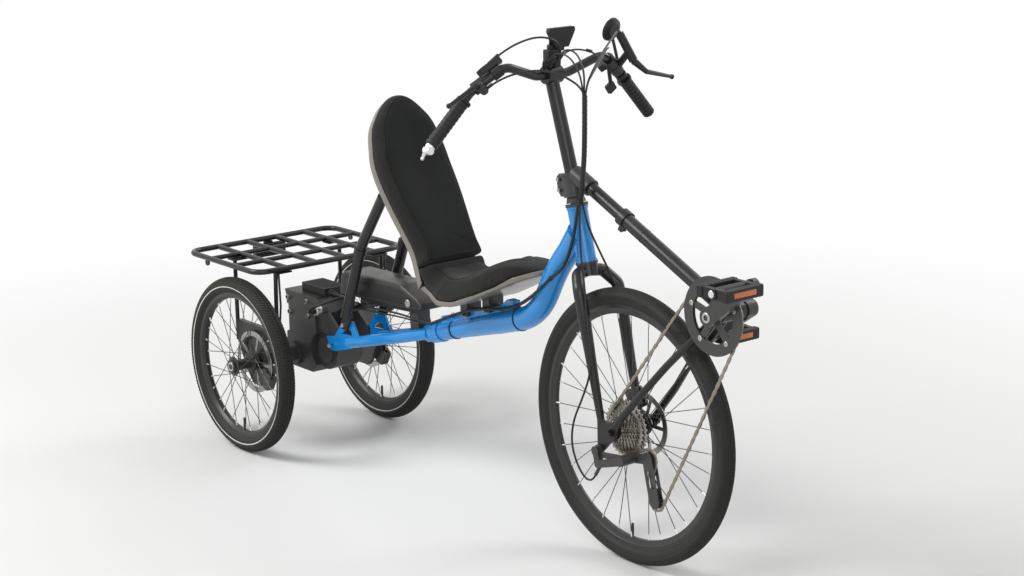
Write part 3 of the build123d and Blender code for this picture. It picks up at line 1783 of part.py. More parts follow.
with BuildPart() as steering_cables:
    tube(
        [
            spot(1150, -36, 1196),
            spot(1215, -36, 1230),
            spot(1270, -36, 1143),
            spot(1266, -37, 960),
            spot(*bundle_end),
        ],
        bundle_radius,
        [36.0, 60.0, 80.0],
    )
save(steering_cables, "steering_cables")

# Both start just under the bundle's end, side by side
under_bundle = bundle_end[2] - 1.4

with BuildPart() as gear_housing:
    tube(
        [
            spot(bundle_end[0] - 0.4, bundle_end[1] - 3.3, under_bundle),
            spot(1256, -44, 826),
            spot(1270, -52, 756),
            spot(1300, -66, 676),
            spot(1326, -82, 606),
            spot(1342, -84, 548),
            spot(1338, -84, 480),
            spot(1306, -84, 410),
            spot(1272, -83, 350),
            spot(1262, -82, 290),
            spot(1280, -80, 240),
            spot(1310, -79, 208),
            spot(1337, barrel_left, 210),
            spot(1347.8, barrel_left, 227.6),
        ],
        housing_radius,
        [70.0] * 9 + [30.0, 24.0, 14.0],
    )
save(gear_housing, "gear_housing")

with BuildPart() as brake_hose:
    tube(
        [
            spot(bundle_end[0] - 0.2, bundle_end[1] + 3.4, under_bundle),
            spot(1258, -26, 838),
            spot(1260, 4, 778),
            spot(1276, 30, 712),
            spot(1306, 42, 650),
            spot(1324, 44, 580),
            spot(1330, 43, 510),
            spot(1340, 43, 455),
            spot(1354.8, 43, 426.4),
        ],
        housing_radius,
        [60.0] * 7,
    )
save(brake_hose, "brake_hose")

# Cables fixed along the frame: from the head down the main tube and back under the seat
with BuildPart() as frame_cables:
    tube(
        [
            spot(1238, -32, 872),
            spot(1228, -35, 806),
            spot(1214, -41, 752),
            spot(1193, -43, 711),
            spot(1140, -40, 676),
            spot(1076, -40, 622),
            spot(1000, -30, 578),
            spot(930, -26, 554),
            spot(835, -38, 542),
            spot(740, -40, 506),
            spot(640, -42, 462),
        ],
        5.0,
        [60.0, 60.0, 60.0] + [80.0] * 6,
    )
save(frame_cables, "frame_cables")
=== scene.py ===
from math import acos, atan2, cos, hypot, pi, radians, sin, tan

import bmesh
import bpy
from mathutils import Matrix, Vector
import numpy as np


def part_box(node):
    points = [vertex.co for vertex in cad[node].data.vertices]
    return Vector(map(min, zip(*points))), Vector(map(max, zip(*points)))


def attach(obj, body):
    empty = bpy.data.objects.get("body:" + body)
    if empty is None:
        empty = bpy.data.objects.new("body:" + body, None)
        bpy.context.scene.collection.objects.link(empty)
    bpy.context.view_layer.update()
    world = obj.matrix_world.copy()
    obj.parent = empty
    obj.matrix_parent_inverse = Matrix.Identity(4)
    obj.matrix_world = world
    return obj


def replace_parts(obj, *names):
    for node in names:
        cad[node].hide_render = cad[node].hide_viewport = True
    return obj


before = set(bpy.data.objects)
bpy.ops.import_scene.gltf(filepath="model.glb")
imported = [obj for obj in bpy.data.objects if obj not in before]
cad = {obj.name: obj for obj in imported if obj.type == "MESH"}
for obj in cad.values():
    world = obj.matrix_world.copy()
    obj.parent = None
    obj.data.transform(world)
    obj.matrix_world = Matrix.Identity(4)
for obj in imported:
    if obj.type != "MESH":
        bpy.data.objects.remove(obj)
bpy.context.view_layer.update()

# Studio: a pale floor that runs out to white, three soft lamps, and the camera where the
# photographer stood, found from the ellipses of the three wheels.
rear_tyre_low, rear_tyre_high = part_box("rear_tyre_right")
rear_axle_x = (rear_tyre_low.x + rear_tyre_high.x) / 2


def at(ahead, left, up):
    """A point ahead of the rear axle, left of the middle and above the ground."""
    return Vector((rear_axle_x + ahead, left, up))


def placed(name, data):
    """An object in the scene."""
    made = bpy.data.objects.new(name, data)
    bpy.context.scene.collection.objects.link(made)
    return made


image_width = 1024
focal_pixels = 2114.4
sensor_millimetres = 36.0
eye = at(5.031, -3.286, 1.8999)
eye_yaw = 2.4651
eye_pitch = -0.2413
eye_roll = -0.0169

gaze = Vector((cos(eye_pitch) * cos(eye_yaw), cos(eye_pitch) * sin(eye_yaw), sin(eye_pitch)))
level_right = gaze.cross(Vector((0, 0, 1))).normalized()
level_up = level_right.cross(gaze)
picture_right = level_right * cos(eye_roll) + level_up * sin(eye_roll)
picture_up = level_up * cos(eye_roll) - level_right * sin(eye_roll)
lens = bpy.data.cameras.new("camera")
lens.sensor_width = sensor_millimetres
lens.lens = focal_pixels * sensor_millimetres / image_width
lens.clip_end = 100.0
camera = placed("camera", lens)
turn = Matrix((picture_right, picture_up, -gaze)).transposed()
camera.matrix_world = Matrix.Translation(eye) @ turn.to_4x4()
bpy.context.scene.camera = camera
bpy.context.scene.view_settings.view_transform = "Standard"


def feed(tree, node, inputs):
    """Sets a node's inputs by name, each to a value or to a (node, output) pair."""
    for name, value in inputs.items():
        if isinstance(value, tuple) and isinstance(value[0], bpy.types.Node):
            tree.links.new(value[0].outputs[value[1]], node.inputs[name])
        else:
            node.inputs[name].default_value = value
    return node


def add(tree, kind, inputs=None, **settings):
    """A node in a tree, with its own settings and its inputs."""
    made = tree.nodes.new(kind)
    for name, value in settings.items():
        setattr(made, name, value)
    return feed(tree, made, inputs or {})


def maths(tree, operation, *inputs, **settings):
    """The result of a sum on values and (node, output) pairs."""
    return add(tree, "ShaderNodeMath", dict(enumerate(inputs)), operation=operation,
               **settings), 0


def ramp(tree, value, low, high, start=0.0, end=1.0, kind="LINEAR"):
    """A value that runs from start to end while another runs from low to high."""
    return add(tree, "ShaderNodeMapRange", {"Value": value, "From Min": low, "From Max": high,
                                            "To Min": start, "To Max": end},
               interpolation_type=kind), "Result"


def seen_directly(tree):
    """A value that is 1 for camera, glossy and transmission rays."""
    path = add(tree, "ShaderNodeLightPath")
    first = maths(tree, "MAXIMUM", (path, "Is Camera Ray"), (path, "Is Glossy Ray"))
    return maths(tree, "MAXIMUM", first, (path, "Is Transmission Ray"))


def plain_material(name):
    """A new material with its tree and its shader."""
    made = bpy.data.materials.new(name)
    made.use_nodes = True
    return made, made.node_tree, made.node_tree.nodes["Principled BSDF"]


ambient = 0.46
pure_white = (1, 1, 1, 1)
world = bpy.data.worlds.new("studio")
world.use_nodes = True
bpy.context.scene.world = world
sky = world.node_tree
sky.nodes.clear()
soft_light = add(sky, "ShaderNodeBackground", {"Color": pure_white, "Strength": ambient})
white = add(sky, "ShaderNodeBackground", {"Color": pure_white, "Strength": 1.0})
sky_mix = add(sky, "ShaderNodeMixShader", {0: seen_directly(sky), 1: (soft_light, 0),
                                           2: (white, 0)})
add(sky, "ShaderNodeOutputWorld", {0: (sky_mix, 0)})

lamp_aim = Vector((0, 0, 0.5))
# name, place, watts, side of the square lamp
for lamp_name, place, watts, side in (
    ("key", Vector((-2.2, -3.4, 4.2)), 185.0, 2.2),
    ("fill", Vector((4.2, -2.6, 2.6)), 42.0, 2.6),
    ("rim", Vector((0.5, 4.2, 3.4)), 80.0, 2.4),
):
    light = bpy.data.lights.new(lamp_name, "AREA")
    light.energy = watts
    light.size = side
    lamp = placed(lamp_name, light)
    lamp.location = place
    lamp.rotation_mode = "QUATERNION"
    lamp.rotation_quaternion = (lamp_aim - place).to_track_quat("-Z", "Y")

floor_radius = 14.0
floor_drop = 0.0006
fade_start = 1.3
fade_end = 3.6
floor_mesh = bpy.data.meshes.new("floor")
floor_shape = bmesh.new()
bmesh.ops.create_circle(floor_shape, cap_ends=True, radius=floor_radius, segments=96)
bmesh.ops.translate(floor_shape, verts=floor_shape.verts, vec=(0, 0, -floor_drop))
floor_shape.to_mesh(floor_mesh)
floor_shape.free()
floor = placed("floor", floor_mesh)
paper, tree, matt = plain_material("studio_paper")
feed(tree, matt, {"Base Color": (0.84, 0.84, 0.83, 1), "Roughness": 0.9,
                  "Specular IOR Level": 0.0})
glow = add(tree, "ShaderNodeEmission", {"Color": pure_white, "Strength": 1.0})
place = add(tree, "ShaderNodeTexCoord")
distance = add(tree, "ShaderNodeVectorMath", {0: (place, "Object")}, operation="LENGTH")
fade = ramp(tree, (distance, "Value"), fade_start, fade_end, kind="SMOOTHSTEP")
paper_mix = add(tree, "ShaderNodeMixShader", {
    0: maths(tree, "MULTIPLY", fade, seen_directly(tree)), 1: (matt, 0), 2: (glow, 0)})
feed(tree, tree.nodes["Material Output"], {0: (paper_mix, 0)})
floor_mesh.materials.append(paper)

# Main frame and rear fork: welded steel tube in gloss azure paint over black primer, with a
# black cup pressed into each end of the head tube.


def group_of(name, kind, entries, results):
    """A node group with its entry and exit nodes, from (name, kind, value) socket rows."""
    group = bpy.data.node_groups.new(name, kind)
    for way, rows in (("INPUT", entries), ("OUTPUT", results)):
        for label, socket_kind, *value in rows:
            socket = group.interface.new_socket(label, in_out=way,
                                                socket_type="NodeSocket" + socket_kind)
            if value:
                socket.default_value = value[0]
    return group, add(group, "NodeGroupInput"), add(group, "NodeGroupOutput")


def scaled(tree, vector, factor):
    """A vector or colour times a factor."""
    return add(tree, "ShaderNodeVectorMath", {0: vector, "Scale": factor}, operation="SCALE"), 0


def mixed(tree, share, first, second):
    """A colour that goes from the first to the second as the share goes from 0 to 1."""
    return add(tree, "ShaderNodeMix", {0: share, 6: first, 7: second}, data_type="RGBA"), 2


def aged_surface():
    """Group: a colour that varies a little, worn along edges, dusty where it faces up."""
    group, entry, leave = group_of("aged_surface", "ShaderNodeTree", (
        ("Colour", "Color", (0.5, 0.5, 0.5, 1)), ("Edge Colour", "Color", (0.7, 0.7, 0.7, 1)),
        ("Roughness", "Float", 0.4), ("Edge Wear", "Float", 0.3), ("Dust", "Float", 0.1),
        ("Mottle", "Float", 0.1), ("Edge Radius", "Float", 0.001),
    ), (("Colour", "Color"), ("Roughness", "Float"), ("Normal", "Vector")))
    place = add(group, "ShaderNodeTexCoord"), "Object"
    clouds = add(group, "ShaderNodeTexNoise", {"Vector": place, "Scale": 9.0, "Detail": 6.0,
                                               "Roughness": 0.6}), 0
    specks = add(group, "ShaderNodeTexNoise", {"Vector": place, "Scale": 230.0,
                                               "Detail": 3.0}), 0
    tone = scaled(group, (entry, "Colour"),
                  ramp(group, clouds, 0.3, 0.7, maths(group, "SUBTRACT", 1.0, (entry, "Mottle")),
                       maths(group, "ADD", (entry, "Mottle"), 1.0)))
    rounded = add(group, "ShaderNodeBevel", {"Radius": (entry, "Edge Radius")}, samples=4), 0
    normal = add(group, "ShaderNodeNewGeometry"), "Normal"
    match = add(group, "ShaderNodeVectorMath", {0: rounded, 1: normal}, operation="DOT_PRODUCT")
    rubbed = maths(group, "MULTIPLY_ADD", ramp(group, (match, "Value"), 0.95, 0.8),
                   ramp(group, specks, 0.42, 0.62), 0.5)
    worn = maths(group, "MULTIPLY", rubbed, (entry, "Edge Wear"))
    edged = mixed(group, worn, tone, (entry, "Edge Colour"))
    facing = add(group, "ShaderNodeSeparateXYZ", {0: normal})
    settled = maths(group, "MULTIPLY", ramp(group, (facing, "Z"), 0.35, 1.0),
                    ramp(group, clouds, 0.38, 0.72))
    dusty = maths(group, "MULTIPLY", settled, (entry, "Dust"))
    rough = maths(group, "ADD", (entry, "Roughness"), ramp(group, clouds, 0.3, 0.7, -0.06, 0.08))
    feed(group, leave, {"Colour": mixed(group, dusty, edged, (0.36, 0.33, 0.27, 1)),
                        "Roughness": maths(group, "ADD", rough, dusty, use_clamp=True),
                        "Normal": rounded})
    return group


aged = aged_surface()
edge_radius = 0.0008
coat_roughness = 0.06


def finish_of(name, colour, edge, roughness, metallic=0.0, wear=0.3, dust=0.1, mottle=0.1,
              grain_scale=600.0, grain_depth=0.00002, coat=0.0, specular=0.5):
    """A material on the aged surface, with a fine grain whose depth is in metres."""
    made, tree, shader = plain_material(name)
    surface = add(tree, "ShaderNodeGroup", {
        "Colour": (*colour, 1), "Edge Colour": (*edge, 1), "Roughness": roughness,
        "Edge Wear": wear, "Dust": dust, "Mottle": mottle, "Edge Radius": edge_radius,
    }, node_tree=aged)
    place = add(tree, "ShaderNodeTexCoord")
    grain = add(tree, "ShaderNodeTexNoise", {"Vector": (place, "Object"), "Scale": grain_scale,
                                             "Detail": 3.0})
    relief = add(tree, "ShaderNodeBump", {"Strength": 1.0, "Distance": grain_depth,
                                          "Height": (grain, 0), "Normal": (surface, "Normal")})
    feed(tree, shader, {
        "Base Color": (surface, "Colour"), "Roughness": (surface, "Roughness"),
        "Metallic": metallic, "Coat Weight": coat, "Coat Roughness": coat_roughness,
        "Specular IOR Level": specular, "Normal": (relief, 0),
    })
    return made


def dress(material, *names):
    """Gives CAD nodes their material."""
    for name in names:
        cad[name].data.materials.clear()
        cad[name].data.materials.append(material)


azure = finish_of("azure_paint", (0.002, 0.25, 0.68), (0.004, 0.2, 0.5), 0.24, wear=0.1,
                  dust=0.04, mottle=0.05, grain_scale=180.0, grain_depth=0.00004, coat=0.4)
dress(azure, "main_frame", "rear_fork")

# Headset cups: black alloy rings pressed into both ends of the head tube, one on the fork's
# crown and one under the stem.


def clean(shape, name, sharp=35.0):
    """A bmesh as a smooth mesh with its doubles merged and its faces turned outwards."""
    bmesh.ops.remove_doubles(shape, verts=shape.verts, dist=1e-6)
    bmesh.ops.recalc_face_normals(shape, faces=shape.faces)
    mesh = bpy.data.meshes.new(name)
    shape.to_mesh(mesh)
    shape.free()
    mesh.shade_smooth()
    mesh.set_sharp_from_angle(angle=radians(sharp))
    return mesh


def shown(name, shape, material, body):
    """Puts a mesh, or a shape still to be cleaned, in the scene as a piece on a body."""
    mesh = clean(shape, name) if isinstance(shape, bmesh.types.BMesh) else shape
    mesh.materials.clear()
    mesh.materials.append(material)
    piece = placed(name, mesh)
    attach(piece, body)
    return piece


def skin(shape, rows, steps):
    """Faces between rows of corners, over so many steps round each row."""
    for row, after in zip(rows, rows[1:]):
        for i in range(steps):
            j = (i + 1) % len(row)
            shape.faces.new((row[i], row[j], after[j], after[i]))


def turn_into(shape, start, along, outline, steps=48, ring=False):
    """Turns (distance along, radius) corners about a line, closed as a ring or at its ends."""
    along = along.normalized()
    first = along.orthogonal().normalized()
    second = along.cross(first)
    rows = []
    for step in range(steps):
        spin = 2 * pi * step / steps
        out = first * cos(spin) + second * sin(spin)
        rows.append([shape.verts.new(start + along * a + out * r) for a, r in outline])
    skin(shape, rows + rows[:1], len(outline) - (0 if ring else 1))
    if not ring:
        shape.faces.new([row[0] for row in rows])
        shape.faces.new([row[-1] for row in reversed(rows)])


black_alloy = finish_of("black_anodised_alloy", (0.008, 0.008, 0.0088), (0.3, 0.29, 0.28), 0.34,
                        metallic=0.15, wear=0.3, dust=0.05, mottle=0.2, specular=0.4)
head_low = at(1.232, 0, 0.723)
head_lean = radians(14.4)
head_up = Vector((-sin(head_lean), 0, cos(head_lean)))
head_length = 0.145
head_radius = 0.025
cup_radius = head_radius + 0.0032
cups = bmesh.new()
for low, high in ((-0.0005, 0.0045), (head_length - 0.0035, head_length + 0.0045)):
    turn_into(cups, head_low, head_up, [(low, head_radius), (low, cup_radius),
                                        (high, cup_radius), (high, head_radius)], ring=True)
shown("headset_cups", cups, black_alloy, "frame")

# Seat stays, rack, fork, boom and bars: round steel tube in satin black paint. Clamps, cranks
# and calipers are black anodised alloy, and the controls and cases moulded plastic.
satin_black = finish_of("satin_black_paint", (0.0065, 0.0065, 0.007), (0.07, 0.068, 0.062),
                        0.27, wear=0.2, dust=0.05, mottle=0.2, specular=0.42)
moulded = finish_of("moulded_black_plastic", (0.0085, 0.009, 0.0095), (0.03, 0.03, 0.03), 0.46,
                    wear=0.15, dust=0.06, grain_scale=1500.0, grain_depth=0.00004,
                    specular=0.35)
bright_steel = finish_of("bright_steel", (0.34, 0.335, 0.32), (0.7, 0.7, 0.68), 0.3,
                         metallic=1.0, wear=0.3, dust=0.03, mottle=0.12)
silver = finish_of("silver_alloy", (0.7, 0.7, 0.69), (0.85, 0.85, 0.84), 0.3, metallic=1.0,
                   wear=0.2, dust=0.03, mottle=0.08)
dress(satin_black, "seat_stays", "rack_deck", "rack_legs", "fork", "riser", "boom_inner",
      "boom_outer", "chainstays", "handlebar")
dress(black_alloy, "stem_clamp", "drive_housing", "axle_beam", "battery_mount",
      "seat_clamps", "rear_calipers", "front_caliper", "motor", "crank_right", "crank_left",
      "chainring", "derailleur")
dress(moulded, "controller_box", "handlebar_controls", "display", "mirror", "brake_levers",
      "grips", "pedal_right", "pedal_left")
dress(bright_steel, "rear_rotor_right", "rear_rotor_left", "front_rotor")
dress(silver, "bar_end_shifter")
sprocket_steel = finish_of("nickel_sprockets", (0.3, 0.285, 0.25), (0.6, 0.58, 0.54), 0.34,
                           metallic=1.0, wear=0.5, dust=0.08, mottle=0.2)
dress(sprocket_steel, "cassette")

# Tyres: black rubber over a round carcass. The rear pair have blocks on the shoulder, ribs
# across the middle and a pale reflecting stripe on each wall, and the front one a fine tread.
rear_radius = (rear_tyre_high.z - rear_tyre_low.z) / 2
rear_half = (rear_tyre_high.y - rear_tyre_low.y) / 2
front_tyre_low, front_tyre_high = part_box("front_tyre")
front_radius = (front_tyre_high.z - front_tyre_low.z) / 2
front_half = (front_tyre_high.y - front_tyre_low.y) / 2
front_axle = (front_tyre_low + front_tyre_high) / 2
rear_axles = {}
for side_name in ("right", "left"):
    low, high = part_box("rear_tyre_" + side_name)
    rear_axles[side_name] = (low + high) / 2


def rubber(name, colour, roughness):
    """Tyre rubber: dull, a little dusty, with a fine moulded grain."""
    return finish_of(name, colour, (0.05, 0.049, 0.045), roughness, wear=0.25, dust=0.14,
                     mottle=0.25, grain_scale=700.0, grain_depth=0.00008, specular=0.28)


tyre_black = rubber("tyre_rubber", (0.0155, 0.0155, 0.015), 0.6)
stripe_white = finish_of("reflecting_stripe", (0.74, 0.73, 0.66), (0.6, 0.6, 0.55), 0.4,
                         wear=0.5, dust=0.1, mottle=0.06)


def evaluated(item):
    """The plain mesh of an object as its modifiers leave it."""
    bpy.context.view_layer.update()
    graph = bpy.context.evaluated_depsgraph_get()
    return bpy.data.meshes.new_from_object(item.evaluated_get(graph), depsgraph=graph)


def ended(tree, entry, leave, copies):
    """Ends a tree: its copies made real, in the finish that the entry gives."""
    solid = add(tree, "GeometryNodeRealizeInstances", {"Geometry": copies})
    coat = add(tree, "GeometryNodeSetMaterial", {"Geometry": (solid, "Geometry"),
                                                 "Material": (entry, "Finish")})
    feed(tree, leave, {"Mesh": (coat, "Geometry")})
    return tree


def tree_of_rings():
    """Geometry Nodes: copies of one item turned evenly about a cross axle."""
    tree, entry, leave = group_of("copies_round_axle", "GeometryNodeTree", (
        ("Mesh", "Geometry"), ("Item", "Object"), ("Count", "Int"), ("First Turn", "Float"),
        ("Axle", "Vector"), ("Finish", "Material"),
    ), (("Mesh", "Geometry"),))
    points = add(tree, "GeometryNodePoints", {"Count": (entry, "Count"),
                                              "Position": (entry, "Axle")})
    index = add(tree, "GeometryNodeInputIndex")
    step = maths(tree, "DIVIDE", -2 * pi, (entry, "Count"))
    spin = maths(tree, "MULTIPLY_ADD", (index, 0), step, (entry, "First Turn"))
    turns = add(tree, "ShaderNodeCombineXYZ", {"Y": spin})
    aim = add(tree, "FunctionNodeEulerToRotation", {0: (turns, 0)})
    item = add(tree, "GeometryNodeObjectInfo", {"Object": (entry, "Item")})
    copies = add(tree, "GeometryNodeInstanceOnPoints", {
        "Points": (points, 0), "Instance": (item, "Geometry"), "Rotation": (aim, 0)})
    return ended(tree, entry, leave, (copies, "Instances"))


copies_round_axle = tree_of_rings()


def grown(name, base, tree, values, material, body, sharp=35.0):
    """The plain mesh that a tree grows on a base mesh, as a piece."""
    seed = placed("seed", base)
    modifier = seed.modifiers.new("grow", "NODES")
    modifier.node_group = tree
    values = {**values, "Finish": material}
    for socket in tree.interface.items_tree:
        if socket.in_out == "INPUT" and socket.name in values:
            modifier[socket.identifier] = values[socket.name]
    mesh = evaluated(seed)
    bpy.data.objects.remove(seed)
    if "Item" in values:
        bpy.data.objects.remove(values["Item"])
    mesh.name = name
    mesh.shade_smooth()
    mesh.set_sharp_from_angle(angle=radians(sharp))
    return shown(name, mesh, material, body)


def item_of(shape, name="item"):
    """A small mesh that a tree copies."""
    return placed(name, clean(shape, name))


def turned(start, along, outline, steps=48, ring=False):
    """One turned shape."""
    shape = bmesh.new()
    turn_into(shape, start, along, outline, steps, ring)
    return shape


def tyre_wall(half, bead, outer, lean):
    """A point of the tyre's section as (left, radius); lean is 0 at the crown, in radians."""
    tall = outer - bead
    middle = bead + tall * 0.53
    wide = half * (1 if abs(lean) < pi / 2 else 0.9)
    return wide * sin(lean), middle + tall * 0.47 * cos(lean)


def tyre_mesh(name, axle, half, bead, outer, tread):
    """The carcass: a closed section turned about the axle, with its bead in the rim."""
    leans = [radians(a) for a in range(-140, 141, 7)]
    outline = [tyre_wall(half, bead, outer - tread, lean) for lean in leans]
    outline += [(half * 0.42, bead), (-half * 0.42, bead)]
    return clean(turned(axle, Vector((0, 1, 0)), outline, 180, True), name, 50.0)


def tread_block(shape, half, bead, outer, tread, leans, spans):
    """A block on the tyre between two leans; spans are its (low, high) turns at each lean."""
    rows = []
    for lean, (low, high) in zip(leans, spans):
        for depth, shrink in ((tread * 1.4, 1.0), (0.0, 0.86)):
            left, radius = tyre_wall(half, bead, outer - depth, lean)
            middle = (low + high) / 2
            reach = (high - low) / 2 * shrink
            rows.append([
                shape.verts.new((radius * cos(spin), left, radius * sin(spin)))
                for spin in (middle - reach, middle + reach)
            ])
    for i in range(0, len(rows) - 2, 2):
        foot, top, next_foot, next_top = rows[i:i + 4]
        shape.faces.new((top[0], top[1], next_top[1], next_top[0]))
        shape.faces.new((foot[0], top[0], next_top[0], next_foot[0]))
        shape.faces.new((top[1], foot[1], next_foot[1], next_top[1]))
        shape.faces.new((foot[1], foot[0], next_foot[0], next_foot[1]))
    for foot, top in (rows[:2], rows[-2:]):
        shape.faces.new((foot[0], foot[1], top[1], top[0]))


rear_bead, rear_tread, rear_pitch = 0.206, 0.0022, 0.0098
front_bead, front_tread, front_pitch = 0.299, 0.0013, 0.0078
# lean where a row of blocks starts and ends in degrees, share of the pitch it fills, sweep
rear_rows = [(50, 72, 0.52, 0.0), (22, 46, 0.5, 0.5), (4, 19, 0.62, -0.3)]
front_rows = [(48, 60, 0.5, 0.3), (30, 45, 0.55, -0.45), (14, 27, 0.6, 0.4), (2, 11, 0.66, -0.2)]


def tyre(name, axle, body, half, bead, outer, tread, pitch, rows):
    """A whole tyre: carcass and tread."""
    piece = shown(name, tyre_mesh(name, axle, half, bead, outer, tread), tyre_black, body)
    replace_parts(piece, name)
    count = round(2 * pi * outer / pitch)
    step = 2 * pi / count
    blocks = bmesh.new()
    for low, high, fill, sweep in rows:
        for way in (-1, 1):
            leans = [radians(way * (low + (high - low) * t)) for t in (0.0, 0.5, 1.0)]
            shift = step * (0.25 if way > 0 else -0.25)
            spans = [
                (shift + step * (sweep * t - fill / 2), shift + step * (sweep * t + fill / 2))
                for t in (0.0, 0.5, 1.0)
            ]
            tread_block(blocks, half, bead, outer, tread, leans, spans)
    grown(name + "_tread", bpy.data.meshes.new("tread"), copies_round_axle,
          {"Item": item_of(blocks), "Count": count, "First Turn": 0.0, "Axle": tuple(axle)},
          tyre_black, body, sharp=25.0)


stripe_radius = 0.229
stripe_half_width = 0.0016
stripe_lift = 0.0004
stripe_sunk = 0.0006
widest_radius = 0.2314
wall_reach = 0.0226
for side_name, axle in rear_axles.items():
    body = side_name + "_rear_wheel"
    tyre("rear_tyre_" + side_name, axle, body, rear_half, rear_bead, rear_radius, rear_tread,
         rear_pitch, rear_rows)
    stripes = bmesh.new()
    for way in (-1, 1):
        outline = []
        for lift in (stripe_lift, -stripe_sunk):
            wall = []
            for t in (-1, 0, 1):
                radius = stripe_radius + stripe_half_width * t
                lean = way * (pi / 2 - (radius - widest_radius) / wall_reach)
                left, _ = tyre_wall(rear_half, rear_bead, rear_radius - rear_tread, lean)
                wall.append((left + way * lift, radius))
            outline += wall if lift > 0 else reversed(wall)
        turn_into(stripes, axle, Vector((0, 1, 0)), outline, steps=128, ring=True)
    shown("wall_stripes_" + side_name, stripes, stripe_white, body)
tyre("front_tyre", front_axle, "front_wheel_set", front_half, front_bead, front_radius,
     front_tread, front_pitch, front_rows)

# Wheels: black anodised rims with an eyelet at each spoke, crossed dark steel spokes with
# bright nipples, a turned hub between two flanges, and a valve.
rim_black = finish_of("rim_black", (0.01, 0.01, 0.01), (0.25, 0.25, 0.24), 0.32, metallic=0.2,
                      wear=0.2, dust=0.06, mottle=0.2, specular=0.4)
spoke_steel = finish_of("spoke_steel", (0.06, 0.06, 0.06), (0.3, 0.3, 0.3), 0.3, metallic=0.8,
                        wear=0.2, dust=0.0)
spoke_count = 32
spoke_radius = 0.0011
lace_step = 0.0016
nipple_length = 0.016


def wheel(name, axle, body, side, rim_half, rim_inner, bead, hub, flanges):
    """Rim, hub, spokes and nipples; hub is an outline and flanges are (left, radius) pairs."""
    metal = bmesh.new()
    across = Vector((0, side, 0))
    half_rim = [
        (rim_half * 0.45, bead - 0.0075), (rim_half - 0.0018, bead - 0.004),
        (rim_half - 0.0014, bead + 0.0045), (rim_half, bead + 0.0045),
        (rim_half, bead - 0.0045), (rim_half * 0.86, bead - 0.0065),
        (rim_half * 0.5, rim_inner + 0.0008), (rim_half * 0.36, rim_inner),
    ]
    rim = half_rim + [(-left, radius) for left, radius in reversed(half_rim)]
    turn_into(metal, axle, across, rim, steps=160, ring=True)
    turn_into(metal, axle, across, hub, steps=56, ring=True)
    turn_into(metal, axle - Vector((0, 0, rim_inner)), Vector((0, 0, 1)),
              [(-0.002, 0.003), (0.006, 0.003), (0.007, 0.0036), (0.03, 0.0036),
               (0.034, 0.0024)], steps=12)
    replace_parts(shown(name, metal, rim_black, body), name)
    for number, (flange_left, flange_radius) in enumerate(flanges):
        for lean in (-1, 1):
            twist = lean * radians(62)
            offset = 2 * pi * (2 * (0 if lean < 0 else 1) + number) / spoke_count
            foot = Vector((flange_radius * cos(twist), side * flange_left + lean * lace_step,
                           flange_radius * sin(twist)))
            tip = Vector((rim_inner + 0.003, side * (-1) ** number * -0.003, 0))
            run = tip - foot
            wire = bmesh.new()
            turn_into(wire, foot, run, [(0, spoke_radius), (run.length, spoke_radius)], steps=6)
            knob = bmesh.new()
            turn_into(knob, tip - run.normalized() * nipple_length, run,
                      [(0.0, 0.0016), (0.001, 0.002), (0.013, 0.002),
                       (nipple_length, 0.0034)], steps=8)
            tag = f"{number}{'a' if lean < 0 else 'b'}"
            for kind, shape, material in (("spokes", wire, spoke_steel),
                                          ("nipples", knob, silver)):
                grown(f"{name}_{kind}_{tag}", bpy.data.meshes.new(kind), copies_round_axle,
                      {"Item": item_of(shape), "Count": spoke_count // 4, "First Turn": offset,
                       "Axle": tuple(axle)}, material, body)


middle = abs(rear_axles["left"].y)
for side_name, side in (("right", -1), ("left", 1)):
    hub = [(left - middle, radius) for left, radius in (
        (0.194, 0.0092), (0.194, 0.022), (0.1975, 0.022), (0.1985, 0.0178), (0.211, 0.0178),
        (0.2115, 0.0285), (0.2125, 0.0298), (0.2155, 0.0298), (0.2165, 0.0285),
        (0.220, 0.0165), (0.226, 0.0152), (0.258, 0.0152), (0.2635, 0.0165),
        (0.2675, 0.0265), (0.2685, 0.0278), (0.2712, 0.0278), (0.272, 0.0265),
        (0.2735, 0.0188), (0.2745, 0.0196), (0.2795, 0.0196), (0.2805, 0.0186),
        (0.2805, 0.0132), (0.279, 0.0128), (0.279, 0.0092),
    )]
    wheel("rear_wheel_" + side_name, rear_axles[side_name], side_name + "_rear_wheel", side,
          0.013, 0.193, rear_bead, hub, [(-0.029, 0.027), (0.027, 0.025)])
    cap_start = rear_axles[side_name] + Vector((0, side * (0.279 - middle), 0))
    cap = turned(cap_start, Vector((0, side, 0)),
                 [(-0.002, 0.0126), (0.0018, 0.0126), (0.0024, 0.0118), (0.0016, 0.0098),
                  (0.0016, 0.0074), (0.0022, 0.0068), (0.0022, 0.002)], steps=40)
    shown("hub_cap_" + side_name, cap, silver, side_name + "_rear_wheel")
hub = [
    (-0.0528, 0.0056), (-0.0528, 0.0165), (-0.017, 0.0168), (-0.0155, 0.030),
    (-0.0145, 0.0312), (-0.0115, 0.0312), (-0.0105, 0.030), (-0.007, 0.0172),
    (0.002, 0.0158), (0.014, 0.0158), (0.0215, 0.0168), (0.0245, 0.030), (0.0255, 0.0312),
    (0.028, 0.0312), (0.029, 0.030), (0.0305, 0.0195), (0.0392, 0.0195), (0.0395, 0.0178),
    (0.0515, 0.0142), (0.0528, 0.0125), (0.0528, 0.0056),
]
wheel("front_wheel", front_axle, "front_wheel_set", 1, 0.011, 0.280, front_bead, hub,
      [(-0.013, 0.028), (0.026, 0.028)])
